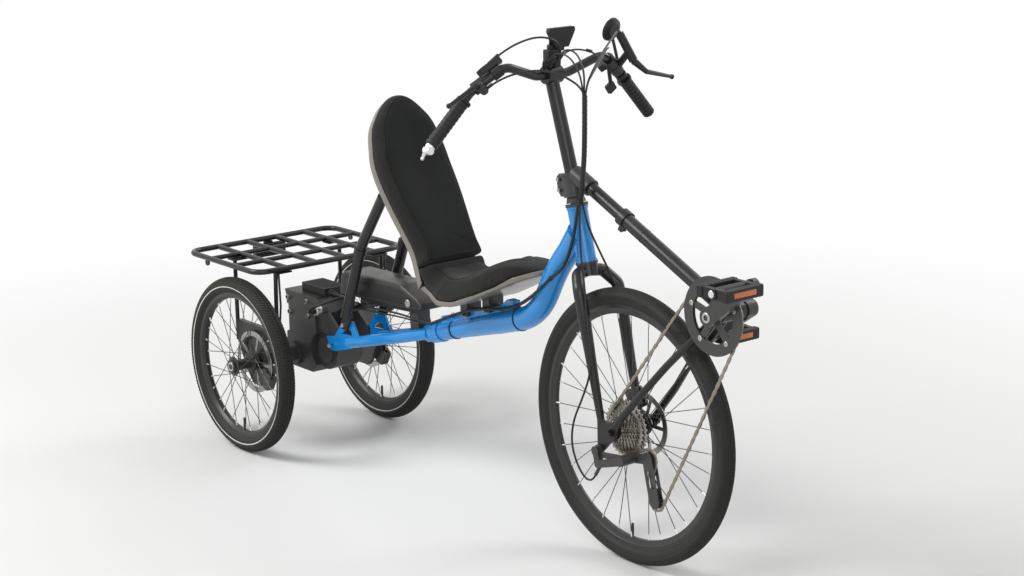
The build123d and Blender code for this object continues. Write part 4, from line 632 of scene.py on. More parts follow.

# Seat: foam cushions under a knitted cover, held in two smooth taupe trays and swelling over
# their rims. The face is plain dark knit and the side an open spacer mesh, whose open cells are
# painted dark as shade, with a sewn seam between them.


def cover_cloth(name, plain, fleck, thread, painted_hole_shade):
    """Knit cloth: plain where the mesh's seam value is over 0, spacer mesh where it is under."""
    made, tree, shader = plain_material(name)
    place = add(tree, "ShaderNodeTexCoord"), "Object"
    stitches = add(tree, "ShaderNodeTexVoronoi", {"Vector": place, "Scale": 900.0}), "Distance"
    cells = add(tree, "ShaderNodeTexVoronoi", {"Vector": place, "Scale": 300.0,
                                               "Randomness": 0.6}), "Distance"
    clouds = add(tree, "ShaderNodeTexNoise", {"Vector": place, "Scale": 13.0, "Detail": 5.0}), 0
    knit = mixed(tree, ramp(tree, stitches, 0.15, 0.7), (*plain, 1), (*fleck, 1))
    open_cell = ramp(tree, cells, 0.28, 0.55)
    # The spacer mesh's open cells take a darker colour: painted shade inside the holes.
    spacer = mixed(tree, open_cell, (*painted_hole_shade, 1), (*thread, 1))
    side = add(tree, "ShaderNodeAttribute", attribute_name="seam")
    face = ramp(tree, (side, "Fac"), -0.06, 0.06)
    height = add(tree, "ShaderNodeMix", {0: face, 2: open_cell, 3: stitches}, data_type="FLOAT")
    relief = add(tree, "ShaderNodeBump", {"Strength": 0.9, "Distance": 0.0005,
                                          "Height": (height, 0)})
    feed(tree, shader, {
        "Base Color": scaled(tree, mixed(tree, face, spacer, knit),
                             ramp(tree, clouds, 0.3, 0.7, 0.85, 1.15)),
        "Roughness": 0.88, "Specular IOR Level": 0.25, "Sheen Weight": 0.12,
        "Sheen Roughness": 0.4, "Normal": (relief, 0),
    })
    return made


# The last colour is painted shade for the open cells of the side's spacer mesh.
seat_cloth = cover_cloth("seat_cover", (0.0065, 0.0078, 0.007), (0.0135, 0.0155, 0.014),
                         (0.019, 0.02, 0.0165), (0.006, 0.0064, 0.006))
# Rings hold: share of the way to the middle, inset at the sides and at the hip seam, height of
# the base, share of the way up to the rim, share of the height left over it, and share of the
# cloth's swell.
pad_overhang = 0.0035


def pad_rings(turn_over, dish):
    """Rings of a pad whose side turns over into its face, with a dished middle."""
    rings = [
        (1.0, 0.008, 0.002, 0.005, 0.0, 0.0, 0.0), (0.5, 0.008, 0.002, 0.005, 0.0, 0.0, 0.0),
        (0.0, 0.008, 0.002, 0.005, 0.0, 0.0, 0.0), (0.0, 0.0065, 0.001, 0.005, 0.15, 0.0, 0.0),
        (0.0, 0.0065, 0.001, 0.005, 0.9, 0.0, 0.0), (0.0, 0.004, 0.001, 0.005, 1.0, 0.03, 0.2),
        (0.0, 0.0, 0.001, 0.005, 1.0, 0.09, 0.4),
    ]
    for lean in (0, 18, 35, 50, 62, 76, 90):
        inset = turn_over * (1 - cos(radians(lean))) - pad_overhang
        rings.append((0.0, inset, 0.001 + 0.003 * (lean / 90) ** 3, 0.005, 1.0,
                      0.2 + 0.8 * sin(radians(lean)), min(1.0, 0.7 + lean / 100)))
    for share in (0.12, 0.3, 0.5, 0.75, 1.0):
        rings.append((share, turn_over - pad_overhang, 0.004, 0.005, 1.0,
                      1 - dish * share ** 1.5, 1.0))
    return rings


shell_rings = [(*ring, 0.0, 0.0) for ring in (
    (1.0, 0.0, 0.0, 0.0, 0.0), (0.5, 0.0, 0.0, 0.0, 0.0), (0.0, 0.006, 0.0, 0.0, 0.0),
    (0.0, 0.0018, 0.0, 0.0015, 0.0), (0.0, 0.0, 0.0, 0.005, 0.0), (0.0, 0.0, 0.0, 0.005, 0.9),
    (0.0, 0.0006, 0.0, 0.005, 1.0), (0.0, 0.0032, 0.0, 0.005, 1.0),
    (0.0, 0.0038, 0.0, 0.005, 0.9), (0.0, 0.0044, 0.0, 0.005, 0.1),
    (0.0, 0.007, 0.0, 0.004, 0.0), (0.5, 0.007, 0.0, 0.004, 0.0), (1.0, 0.007, 0.0, 0.004, 0.0),
)]
seam_ring = 12
seam_width = 0.28
seam_depth = 0.0022
cloth_steps = 20
cloth_pressure = 4.0
most_swell = 0.003
least_wide_inset = 0.009


def smooth_through(places, first, last, fineness=7):
    """Points on a smooth line through places, with the ways it starts and ends."""
    places = [np.array(place, float) for place in places]
    ways = [np.array(first, float)]
    ways += [(c - a) / np.linalg.norm(c - a) for a, c in zip(places, places[2:])]
    ways.append(np.array(last, float))
    line = []
    for a, b, leave, arrive in zip(places, places[1:], ways, ways[1:]):
        span = np.linalg.norm(b - a)
        for t in np.arange(fineness) / fineness:
            share = 3 * t ** 2 - 2 * t ** 3
            bow = (t ** 3 - 2 * t ** 2 + t) * leave + (t ** 3 - t ** 2) * arrive
            line.append((1 - share) * a + share * b + span * bow)
    return np.array(line + [places[-1]])


def rounded_run(corners, radii, fineness=8):
    """Side-view points along straight runs that are joined by arcs."""
    corners = [np.array(corner, float) for corner in corners]
    path = [corners[0]]
    for before, corner, after, radius in zip(corners, corners[1:], corners[2:], radii):
        arrive = (corner - before) / np.linalg.norm(corner - before)
        leave = (after - corner) / np.linalg.norm(after - corner)
        turn = acos(arrive @ leave)
        start = corner - arrive * radius * tan(turn / 2)
        inward = (leave - arrive) / np.linalg.norm(leave - arrive)
        centre = corner + inward * radius / cos(turn / 2)
        for angle in np.linspace(0, turn, fineness + 1):
            path.append(centre + (start - centre) * cos(angle) + arrive * radius * sin(angle))
    return np.array(path + [corners[-1]])


def pad_outline(side_line):
    """A whole outline of (along, across, at the hip seam) from one side's line."""
    start, half = side_line[0]
    edge = [(start, half * k / 6, 1.0) for k in range(6)]
    edge += [(along, across, max(0.0, 1 - (along - start) / 0.02)) for along, across in side_line]
    return edge + [(along, -across, near) for along, across, near in reversed(edge[1:-1])]


def pad_block(rings, outline, middles, place, rim, full, widen=lambda along: 1.0):
    """A closed form: rings of its outline from the middle of one face to that of the other."""
    shape = bmesh.new()
    seam = shape.verts.layers.float.new("seam")
    give = shape.verts.layers.float.new("give")
    hip_half = max(across for _, across, near_hip in outline if near_hip == 1.0)
    rows = []
    for number, (share, side, hip, base, low, rise, swell) in enumerate(rings):
        row = []
        for along, across, near_hip in outline:
            edge = np.array((along, across))
            middle = np.array((np.clip(along, *middles), 0.0))
            inward = (middle - edge) / np.linalg.norm(middle - edge)
            inset = side if side < least_wide_inset else side * widen(along)
            foot = edge + inward * inset * (1 - near_hip)
            foot += np.array((hip, -side * across / hip_half)) * near_hip
            spot = foot + (middle - foot) * share
            height = base + (rim(along) - base) * low
            height += (full(spot[0]) - rim(along)) * rise
            corner = shape.verts.new(place(*spot, height))
            corner[seam] = number - seam_ring
            corner[give] = swell * (1 - near_hip * (1 - share))
            row.append(corner)
        rows.append(row)
    skin(shape, rows, len(outline))
    return shape


def apply_all(piece):
    """Leaves a piece the mesh that its modifiers make, without them."""
    mesh = evaluated(piece)
    piece.modifiers.clear()
    piece.data = mesh


def column(mesh, name, field, width=1):
    """One of a mesh's point attributes as an array."""
    flat = np.zeros(len(mesh.vertices) * width)
    mesh.attributes[name].data.foreach_get(field, flat)
    return flat.reshape(-1, width)


def puffed(name, shape):
    """A pad swollen as cloth under pressure, no point by more than its share of the swell."""
    block = placed(name, clean(shape, name, 180.0))
    start = column(block.data, "position", "vector", 3)
    give = column(block.data, "give", "value")
    cloth = block.modifiers.new("cloth", "CLOTH")
    cloth.settings.use_pressure = True
    cloth.settings.uniform_pressure_force = cloth_pressure
    cloth.settings.effector_weights.gravity = 0
    cloth.settings.tension_stiffness = 12
    cloth.settings.compression_stiffness = 12
    cloth.settings.bending_stiffness = 3
    cloth.point_cache.frame_start = 1
    cloth.point_cache.frame_end = cloth_steps
    for step in range(1, cloth_steps + 1):
        bpy.context.scene.frame_set(step)
    apply_all(block)
    bpy.context.scene.frame_set(1)
    moved = column(block.data, "position", "vector", 3) - start
    length = np.linalg.norm(moved, axis=1, keepdims=True)
    share = np.minimum(1.0, most_swell * give / np.maximum(length, 1e-9))
    block.data.vertices.foreach_set("co", (start + moved * share).ravel())
    finer = block.modifiers.new("finer", "SUBSURF")
    finer.levels = 2
    finer.render_levels = 2
    apply_all(block)
    mesh = block.data
    out = np.zeros(len(mesh.vertices) * 3)
    mesh.vertices.foreach_get("normal", out)
    groove = seam_depth * np.exp(-((column(mesh, "seam", "value") / seam_width) ** 2))
    sewn = column(mesh, "position", "vector", 3) - out.reshape(-1, 3) * groove
    mesh.vertices.foreach_set("co", sewn.ravel())
    mesh.attributes.remove(mesh.attributes["give"])
    mesh.materials.append(seat_cloth)
    mesh.shade_smooth()
    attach(block, "frame")
    return block


back_corners = [(0.410, 1.040), (0.488, 0.853), (0.630, 0.649), (0.664, 0.572)]
back_foot = np.array(back_corners[-1])
back_lean = atan2(0.254, 0.468)
back_up = np.array((-sin(back_lean), cos(back_lean)))
back_out = np.array((cos(back_lean), sin(back_lean)))
back_path = rounded_run(back_corners, [0.4, 0.3])[::-1] - back_foot
back_rim = 0.0235
back_full = 0.0725
slope_reach = 0.01


def on_back(level, left, height):
    """A point of the back cushion: how far up the back, left, and off the shell's rear face."""
    near, depth, far = (
        np.interp(level + step, back_path @ back_up, back_path @ back_out)
        for step in (-slope_reach, 0.0, slope_reach)
    )
    out = depth + height * hypot(1, (far - near) / (2 * slope_reach))
    place = back_foot + back_up * level + back_out * out
    return at(place[0], left, place[1])


back_side = smooth_through(
    [(0.050, 0.0975), (0.100, 0.0955), (0.237, 0.109), (0.333, 0.112), (0.383, 0.106),
     (0.460, 0.080), (0.521, 0.0)], (1, -0.02), (0, -1))
back_block = pad_block(pad_rings(0.023, 0.085), pad_outline(back_side), (0.125, 0.420),
                       on_back, lambda along: back_rim, lambda along: back_full)
back_pad = puffed("back_cushion_pad", back_block)
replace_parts(back_pad, "back_cushion")
shell_side = smooth_through(
    [(0.0, 0.099), (0.050, 0.0965), (0.100, 0.095), (0.237, 0.109), (0.333, 0.112),
     (0.383, 0.106), (0.460, 0.080), (0.521, 0.0)], (1, -0.02), (0, -1))
back_tray = pad_block(shell_rings, pad_outline(shell_side), (0.02, 0.420), on_back,
                      lambda along: np.interp(along, (0, 0.004), (0.007, back_rim)),
                      lambda along: back_full)
shell_plastic = finish_of("seat_shell", (0.2, 0.185, 0.15), (0.3, 0.28, 0.24), 0.3,
                          wear=0.15, dust=0.05, mottle=0.08, grain_scale=60.0,
                          grain_depth=0.00008, coat=0.2, specular=0.4)
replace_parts(shown("back_tray", back_tray, shell_plastic, "frame"),
            "seat_back_shell")

pan_path = rounded_run(
    [(0.6349, 0.6265), (0.6686, 0.572), (0.752, 0.542), (0.820, 0.552), (1.0852, 0.6727)],
    [0.03, 0.06, 0.15])
pan_run = np.concatenate([[0], np.cumsum(np.linalg.norm(np.diff(pan_path, axis=0), axis=1))])
# how far along the shell from the hip seam, and over it the cushion's top (ahead, up)
pan_top = smooth_through(
    [(0.016, 0.7075, 0.6465), (0.064, 0.735, 0.6275), (0.150, 0.783, 0.6185),
     (0.220, 0.829, 0.627), (0.300, 0.886, 0.650), (0.400, 0.962, 0.688),
     (0.440, 0.998, 0.6975), (0.475, 1.032, 0.6965), (0.510, 1.066, 0.689)],
    (0.4, 0.8, -0.45), (0.3, 0.95, -0.25))


def pan_section(along):
    """The shell's point and the top of the cushion over it, each as (ahead, up)."""
    return (np.array([np.interp(along, pan_run, pan_path[:, k]) for k in (0, 1)]),
            np.array([np.interp(along, pan_top[:, 0], pan_top[:, k]) for k in (1, 2)]))


def on_pan(along, left, height):
    """A point of the pan cushion: along the shell from the hip seam, left, and off the shell."""
    foot, top = pan_section(along)
    place = foot + (top - foot) / np.linalg.norm(top - foot) * height
    return at(place[0], left, place[1])


def pan_full(along):
    """The pan cushion's whole thickness."""
    foot, top = pan_section(along)
    return np.linalg.norm(top - foot)


def pan_rim(along):
    """How high the shells' rims stand there: the back's, then the pan's low one."""
    return np.interp(along, (0.045, 0.085, 0.16, 0.25, 0.33, 0.40, 0.45, 0.50),
                     (back_rim, 0.0165, 0.0165, 0.0125, 0.0065, 0.0065, 0.0135, 0.0135))


def pan_widen(along):
    """How much wider the side turns over towards the rounded nose."""
    return np.interp(along, (0.24, 0.34, 0.44), (1.0, 1.5, 2.5))


pan_side = smooth_through(
    [(0.016, 0.0965), (0.064, 0.0935), (0.101, 0.094), (0.145, 0.1025), (0.254, 0.106),
     (0.350, 0.101), (0.425, 0.081), (0.475, 0.055), (0.506, 0.0)], (1, 0), (0, -1))
pan_block = pad_block(pad_rings(0.030, 0.06), pad_outline(pan_side), (0.075, 0.425), on_pan,
                      pan_rim, pan_full, pan_widen)
pan_pad = puffed("pan_cushion_pad", pan_block)
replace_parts(pan_pad, "pan_cushion")
tray_side = smooth_through(
    [(0.063, 0.095), (0.101, 0.0955), (0.145, 0.104), (0.254, 0.1065), (0.350, 0.1015),
     (0.425, 0.084), (0.475, 0.059), (0.5075, 0.0)], (1, 0), (0, -1))
pan_tray = pad_block(shell_rings, pad_outline(tray_side), (0.085, 0.420), on_pan,
                     lambda along: np.interp(along, (0.063, 0.067), (0.007, 1)) * pan_rim(along),
                     pan_full)
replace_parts(shown("pan_tray", pan_tray, shell_plastic, "frame"),
            "seat_pan_shell")

# Control cables: a thick bundle in spiral wrap stands in front of the riser, fed from the bar's
# levers and switches by single hoses. Under the stem it splits into shift housing, brake hose
# and the wrapped loom that is tied along the frame to the battery and the drive.


def tube_into(shape, route, radius, steps):
    """A round tube along points that are close together."""
    rows = []
    side = None
    for i, point in enumerate(route):
        run = (route[min(i + 1, len(route) - 1)] - route[max(i - 1, 0)]).normalized()
        side = run.orthogonal() if side is None else side - run * side.dot(run)
        side.normalize()
        other = run.cross(side)
        rows.append([
            shape.verts.new(point + (side * cos(a) + other * sin(a)) * radius)
            for a in (2 * pi * k / steps for k in range(steps))
        ])
    skin(shape, rows, steps)
    shape.faces.new(reversed(rows[0]))
    shape.faces.new(rows[-1])


def smooth_route(points):
    """Points read along the NURBS line of (ahead, left, up) control points."""
    data = bpy.data.curves.new("route", "CURVE")
    data.dimensions = "3D"
    data.resolution_u = 12
    line = data.splines.new("NURBS")
    line.points.add(len(points) - 1)
    for control, point in zip(line.points, points):
        control.co = (*at(*point), 1)
    line.use_endpoint_u = True
    line.order_u = 3
    carrier = placed("route", data)
    mesh = evaluated(carrier)
    read = [v.co.copy() for v in mesh.vertices]
    bpy.data.objects.remove(carrier)
    bpy.data.meshes.remove(mesh)
    return read


wrap_pitch = 0.011
wrap_step = 0.09
strip_radius = 0.0011


def tree_of_wrap():
    """Geometry Nodes: a thin strip wound round a line."""
    tree, entry, leave = group_of("spiral_wrap", "GeometryNodeTree", (
        ("Line", "Geometry"), ("Wrap Radius", "Float"), ("Pitch", "Float"),
        ("Strip Radius", "Float"), ("Finish", "Material"),
    ), (("Mesh", "Geometry"),))
    line = add(tree, "GeometryNodeMeshToCurve", {"Mesh": (entry, "Line")})
    fine = add(tree, "GeometryNodeResampleCurve", {
        "Curve": (line, "Curve"),
        "Length": maths(tree, "MULTIPLY", (entry, "Pitch"), wrap_step)}, mode="LENGTH")
    along = add(tree, "GeometryNodeSplineParameter")
    turns = maths(tree, "DIVIDE", (along, "Length"), (entry, "Pitch"))
    aside = add(tree, "GeometryNodeInputNormal")
    run = add(tree, "GeometryNodeInputTangent")
    swing = add(tree, "ShaderNodeVectorRotate", {
        "Vector": (aside, 0), "Axis": (run, 0), "Angle": maths(tree, "MULTIPLY", turns, 2 * pi),
    }, rotation_type="AXIS_ANGLE")
    wound = add(tree, "GeometryNodeSetPosition", {
        "Geometry": (fine, "Curve"), "Offset": scaled(tree, (swing, 0), (entry, "Wrap Radius"))})
    section = add(tree, "GeometryNodeCurvePrimitiveCircle", {
        "Resolution": 6, "Radius": (entry, "Strip Radius")})
    strip = add(tree, "GeometryNodeCurveToMesh", {
        "Curve": (wound, "Geometry"), "Profile Curve": (section, "Curve"), "Fill Caps": True})
    return ended(tree, entry, leave, (strip, "Mesh"))


spiral_wrap = tree_of_wrap()
cable_black = finish_of("cable_sheath", (0.0075, 0.0075, 0.0075), (0.03, 0.03, 0.03), 0.38,
                        wear=0.1, dust=0.05, grain_scale=900.0, specular=0.4)


def stub_into(shape, start, end, radius, outline, steps):
    """A short turned piece; its outline is in shares of its length and its radius."""
    start, end = at(*start), at(*end)
    length = (end - start).length
    turn_into(shape, start, end - start, [(length * a, radius * r) for a, r in outline], steps)


def cables(name, routes, body, ends=()):
    """Hoses of (radius, points) rows, with short turned ends of (start, end, radius) rows."""
    shape = bmesh.new()
    for radius, points in routes:
        tube_into(shape, smooth_route(points), radius, 8)
    for start, end, radius in ends:
        stub_into(shape, start, end, radius, ((0, 0.8), (0.1, 1), (0.9, 1), (1, 0.8)), 12)
    return shown(name, shape, cable_black, body)


def wrapped(name, points, radius, body):
    """A loom's core with its spiral wrap."""
    line = smooth_route(points)
    core = bmesh.new()
    tube_into(core, line, radius - strip_radius * 0.7, 12)
    piece = shown(name, core, cable_black, body)
    path = bpy.data.meshes.new("path")
    steps = [(i, i + 1) for i in range(len(line) - 1)]
    path.from_pydata([tuple(point) for point in line], steps, [])
    sizes = {"Wrap Radius": radius - strip_radius, "Pitch": wrap_pitch,
             "Strip Radius": strip_radius}
    grown(name + "_wrap", path, spiral_wrap, sizes, cable_black, body)
    return piece


steering_loom = wrapped("steering_loom", [
    (1.270, -0.036, 1.143), (1.2695, -0.036, 1.060), (1.266, -0.037, 0.965),
    (1.255, -0.038, 0.896)], 0.007, "steering")
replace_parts(steering_loom, "steering_cables")
gear_route = [
    (1.2546, -0.0413, 0.8946), (1.256, -0.044, 0.826), (1.270, -0.052, 0.756),
    (1.300, -0.066, 0.676), (1.326, -0.082, 0.606), (1.342, -0.084, 0.548),
    (1.338, -0.084, 0.480), (1.306, -0.084, 0.410), (1.272, -0.083, 0.350),
    (1.262, -0.082, 0.290), (1.280, -0.080, 0.240), (1.310, -0.079, 0.208),
    (1.337, -0.078, 0.210), (1.3478, -0.078, 0.2276),
]
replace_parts(cables("shift_housing", [(0.0026, gear_route)], "steering"), "gear_housing")
brake_route = [
    (1.2548, -0.0346, 0.8946), (1.258, -0.026, 0.838), (1.260, 0.004, 0.778),
    (1.276, 0.030, 0.712), (1.306, 0.042, 0.650), (1.324, 0.044, 0.580), (1.330, 0.043, 0.510),
    (1.340, 0.043, 0.455), (1.3548, 0.043, 0.4264),
]
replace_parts(cables("front_brake_hose", [(0.0026, brake_route)], "steering"), "brake_hose")
frame_route = [
    (1.238, -0.032, 0.872), (1.228, -0.035, 0.806), (1.214, -0.041, 0.752),
    (1.193, -0.043, 0.711), (1.140, -0.040, 0.676), (1.076, -0.040, 0.622),
    (1.000, -0.030, 0.578), (0.930, -0.026, 0.554), (0.835, -0.038, 0.542),
    (0.740, -0.040, 0.506), (0.640, -0.042, 0.462),
]
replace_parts(wrapped("frame_loom", frame_route, 0.005, "frame"), "frame_cables")

# Single hoses from the top of the bundle: right lever, left lever (two), left switch, and the
# two that arch over from the right control and the display.
cables("bar_hoses", [
    (0.0026, [(1.270, -0.034, 1.139), (1.266, -0.042, 1.160), (1.248, -0.055, 1.178),
              (1.215, -0.080, 1.198), (1.190, -0.122, 1.205), (1.165, -0.172, 1.197),
              (1.146, -0.207, 1.180), (1.129, -0.224, 1.163)]),
    (0.0026, [(1.272, -0.036, 1.139), (1.272, -0.032, 1.166), (1.260, -0.004, 1.195),
              (1.236, 0.040, 1.221), (1.210, 0.086, 1.243), (1.182, 0.132, 1.258),
              (1.152, 0.172, 1.268), (1.134, 0.194, 1.260)]),
    (0.0022, [(1.268, -0.033, 1.139), (1.268, -0.028, 1.168), (1.252, 0.002, 1.186),
              (1.228, 0.044, 1.206), (1.200, 0.086, 1.222), (1.172, 0.122, 1.232),
              (1.146, 0.150, 1.228)]),
    (0.0024, [(1.267, -0.037, 1.139), (1.268, -0.034, 1.172), (1.254, -0.026, 1.208),
              (1.222, -0.018, 1.238), (1.180, -0.012, 1.244), (1.150, -0.008, 1.228),
              (1.128, -0.006, 1.200)]),
    (0.0022, [(1.268, -0.039, 1.139), (1.264, -0.038, 1.170), (1.246, -0.036, 1.204),
              (1.214, -0.036, 1.232), (1.170, -0.036, 1.236), (1.136, -0.034, 1.214),
              (1.118, -0.030, 1.196)]),
    (0.0026, [(1.084, -0.166, 1.222), (1.098, -0.142, 1.243), (1.122, -0.112, 1.264),
              (1.146, -0.078, 1.276), (1.164, -0.044, 1.270), (1.164, -0.018, 1.246),
              (1.140, -0.006, 1.216), (1.122, -0.004, 1.196)]),
    (0.0022, [(1.120, 0.000, 1.200), (1.150, 0.004, 1.232), (1.172, 0.022, 1.240),
              (1.182, 0.058, 1.232), (1.176, 0.096, 1.214), (1.152, 0.130, 1.206)]),
], "steering", ends=[
    ((1.142, -0.212, 1.176), (1.129, -0.224, 1.163), 0.0042),
    ((1.078, -0.174, 1.212), (1.092, -0.152, 1.235), 0.0050),
    ((1.148, 0.178, 1.266), (1.134, 0.194, 1.259), 0.0042),
    ((1.178, 0.050, 1.235), (1.180, 0.066, 1.230), 0.0042),
])

# Battery and controller leads: two sheathed cables that leave the loom and run on along the
# battery's foot to the drive.
cables("drive_leads", [
    (0.0030, [(0.650, -0.043, 0.465), (0.610, -0.052, 0.466), (0.540, -0.053, 0.469),
              (0.460, -0.052, 0.466), (0.380, -0.053, 0.459), (0.300, -0.050, 0.461),
              (0.230, -0.034, 0.456), (0.196, -0.018, 0.451), (0.176, -0.014, 0.449)]),
    (0.0024, [(0.650, -0.041, 0.463), (0.604, -0.047, 0.459), (0.530, -0.050, 0.460),
              (0.450, -0.051, 0.455), (0.370, -0.052, 0.449), (0.300, -0.048, 0.446),
              (0.240, -0.030, 0.440), (0.190, -0.010, 0.424), (0.150, -0.004, 0.400)]),
], "frame")

# Small hardware: zinc plated screws and bolts that show against the black pieces, most of them
# driven in from the right.
zinc = finish_of("zinc_plate", (0.42, 0.41, 0.37), (0.6, 0.6, 0.56), 0.34, metallic=1.0,
                 wear=0.3, dust=0.1, mottle=0.3)
to_right = Vector((0, -1, 0))


def tree_of_copies():
    """Geometry Nodes: copies of one item on points that carry a facing and a size."""
    tree, entry, leave = group_of("copies_on_points", "GeometryNodeTree", (
        ("Points", "Geometry"), ("Item", "Object"), ("Finish", "Material"),
    ), (("Mesh", "Geometry"),))
    facing = add(tree, "GeometryNodeInputNamedAttribute", {"Name": "facing"},
                 data_type="FLOAT_VECTOR")
    size = add(tree, "GeometryNodeInputNamedAttribute", {"Name": "size"}, data_type="FLOAT")
    aim = add(tree, "FunctionNodeAlignRotationToVector", {"Vector": (facing, "Attribute")},
              axis="Z")
    item = add(tree, "GeometryNodeObjectInfo", {"Object": (entry, "Item")})
    copies = add(tree, "GeometryNodeInstanceOnPoints", {
        "Points": (entry, "Points"), "Instance": (item, "Geometry"),
        "Rotation": (aim, "Rotation"), "Scale": (size, "Attribute")})
    return ended(tree, entry, leave, (copies, "Instances"))


copies_on_points = tree_of_copies()
head_sides = 18
head_rim = 0.3
well_depth = 0.5


def points_mesh(places):
    """Points that carry a facing and a size, from (place, facing, size) rows."""
    mesh = bpy.data.meshes.new("places")
    mesh.from_pydata([tuple(place) for place, _, _ in places], [], [])
    mesh.attributes.new("facing", "FLOAT_VECTOR", "POINT")
    mesh.attributes.new("size", "FLOAT", "POINT")
    ways = [x for _, way, _ in places for x in way]
    mesh.attributes["facing"].data.foreach_set("vector", ways)
    mesh.attributes["size"].data.foreach_set("value", [scale for _, _, scale in places])
    return mesh


def socket_screw():
    """A cap screw's head, one unit across its radius, with a round well sunk in its top."""
    shape = turned(Vector((0, 0, 0)), Vector((0, 0, 1)),
                   [(-0.05, 0.96), (0.75, 1.0), (0.92, 0.94), (1.0, 0.8)], head_sides)
    top = max(shape.faces, key=lambda face: face.calc_center_median().z)
    bmesh.ops.inset_individual(shape, faces=[top], thickness=head_rim)
    inner = [face for face in shape.faces
             if len(face.verts) == head_sides and face.calc_center_median().z > 0.9]
    for face in bmesh.ops.extrude_discrete_faces(shape, faces=inner)["faces"]:
        bmesh.ops.translate(shape, verts=face.verts, vec=(0, 0, -well_depth))
    return item_of(shape, "socket_screw")


for name, left, radius, body, places in (
    ("drive_screws", -0.0525, 0.0072, "frame",
     ((-0.036, 0.415), (0.061, 0.419), (-0.029, 0.373), (0.067, 0.376))),
    ("clamp_screws", -0.0305, 0.0042, "frame", ((0.764, 0.510), (0.858, 0.538))),
    ("stem_screws", -0.0150, 0.0046, "steering", ((1.149, 0.895), (1.145, 0.921))),
    ("plate_screws", -0.0665, 0.0058, "frame", ((0.190, 0.316), (0.262, 0.389))),
):
    grown(name, points_mesh([(at(ahead, left, up), to_right, radius) for ahead, up in places]),
          copies_on_points, {"Item": socket_screw()}, zinc, body)

ring_bolts = bmesh.new()
for arm in range(5):
    turn = radians(20 + 72 * arm)
    turn_into(ring_bolts, at(1.723 + 0.071 * cos(turn), -0.0527, 0.693 + 0.071 * sin(turn)),
              to_right, [(0, 0.0064), (0.0012, 0.0064), (0.0019, 0.0054), (0.0019, 0.0030),
                         (0.0004, 0.0028)], steps=20)
shown("ring_bolts", ring_bolts, zinc, "crankset")
crank_bolts = bmesh.new()
for side in (-1, 1):
    turn_into(crank_bolts, at(1.723, side * 0.0725, 0.693), Vector((0, side, 0)),
              [(0, 0.0125), (0.0016, 0.0125), (0.0026, 0.0112), (0.0026, 0.0068),
               (-0.0008, 0.0062)], steps=28)
shown("crank_bolts", crank_bolts, zinc, "crankset")

# Pedals: moulded black bodies with an amber reflector in each face, ribs on the treads and a
# bright cap on the bearing.
amber = finish_of("amber_reflector", (0.52, 0.12, 0.006), (0.7, 0.3, 0.1), 0.16, wear=0.1,
                  dust=0.03, grain_scale=380.0, grain_depth=0.0004, coat=0.4)


def blocks(name, corners, rounding, material, body, slot):
    """Upright boxes of (low corner, high corner) rows with rounded edges, as one piece."""
    shape = bmesh.new()
    for low, high in corners:
        made = bmesh.ops.create_cube(shape, size=1.0)["verts"]
        for corner in made:
            corner.co = [low[k] if corner.co[k] < 0 else high[k] for k in range(3)]
        edges = list({edge for corner in made for edge in corner.link_edges})
        bmesh.ops.bevel(shape, geom=edges, offset=rounding, segments=2, affect="EDGES",
                        profile=0.5)
    return shown(name, shape, material, body)


for side, side_name, end in ((-1, "right", (1.8605, 0.7929)), (1, "left", (1.5855, 0.5931))):
    body = side_name + "_pedal"
    spans = sorted((side * 0.1015, side * 0.1685))
    blocks(side_name + "_reflectors", [
        (at(end[0] + min(face, face * 0.954), spans[0], end[1] - 0.0065),
         at(end[0] + max(face, face * 0.954), spans[1], end[1] + 0.0065))
        for face in (-0.0478, 0.0478)], 0.0008, amber, body, "soft_rubber")
    ribs = []
    for face in (-0.039, 0.039):
        for level in (-0.0138, 0.0138):
            for step in range(9):
                middle = side * (0.088 + 0.0118 * step)
                ribs.append((at(end[0] + face - 0.0062, middle - 0.0021, end[1] + level - 0.0008),
                             at(end[0] + face + 0.0062, middle + 0.0021, end[1] + level + 0.0008)))
    blocks(side_name + "_treads", ribs, 0.0005, rubber(side_name + "_tread", (0.012, 0.012, 0.012),
                                                      0.6), body, "soft_rubber")
    shown(side_name + "_pedal_cap", turned(
        at(end[0], side * 0.1905, end[1]), Vector((0, side, 0)),
        [(0, 0.0085), (0.0022, 0.0085), (0.0034, 0.0070), (0.0034, 0.0)], steps=24),
        silver, body)

# Tail lamp, display and mirror: black moulded cases, with a red lens, a dark glass and a round
# silvered glass let into them.
lamp_red = finish_of("red_lens", (0.42, 0.01, 0.012), (0.7, 0.1, 0.1), 0.12, wear=0.2,
                     dust=0.05, coat=0.4)
dark_glass = finish_of("dark_glass", (0.004, 0.005, 0.006), (0.02, 0.02, 0.02), 0.06, wear=0.05,
                       dust=0.02, coat=0.6)
looking_glass = finish_of("looking_glass", (0.8, 0.82, 0.83), (0.8, 0.82, 0.83), 0.03,
                          metallic=1.0, wear=0.0, dust=0.02, mottle=0.0)
dress(moulded, "tail_lamp")
blocks("tail_lens", [(at(-0.2640, -0.0275, 0.4945), at(-0.2545, 0.0705, 0.5255))], 0.003,
       lamp_red, "frame", "lamp_red")
blocks("display_glass", [(at(1.1112, -0.0120, 1.2480), at(1.1124, 0.0520, 1.2830))], 0.0005,
       dark_glass, "steering", "black_plastic")
mirror_way = Vector((1, 0.15, -0.3)).normalized()
shown("mirror_glass", turned(at(1.051, 0.241, 1.258), -mirror_way,
                             [(0, 0.0285), (0.0008, 0.0285), (0.0011, 0.0280), (0.0011, 0.0)],
                             steps=48), looking_glass, "steering")

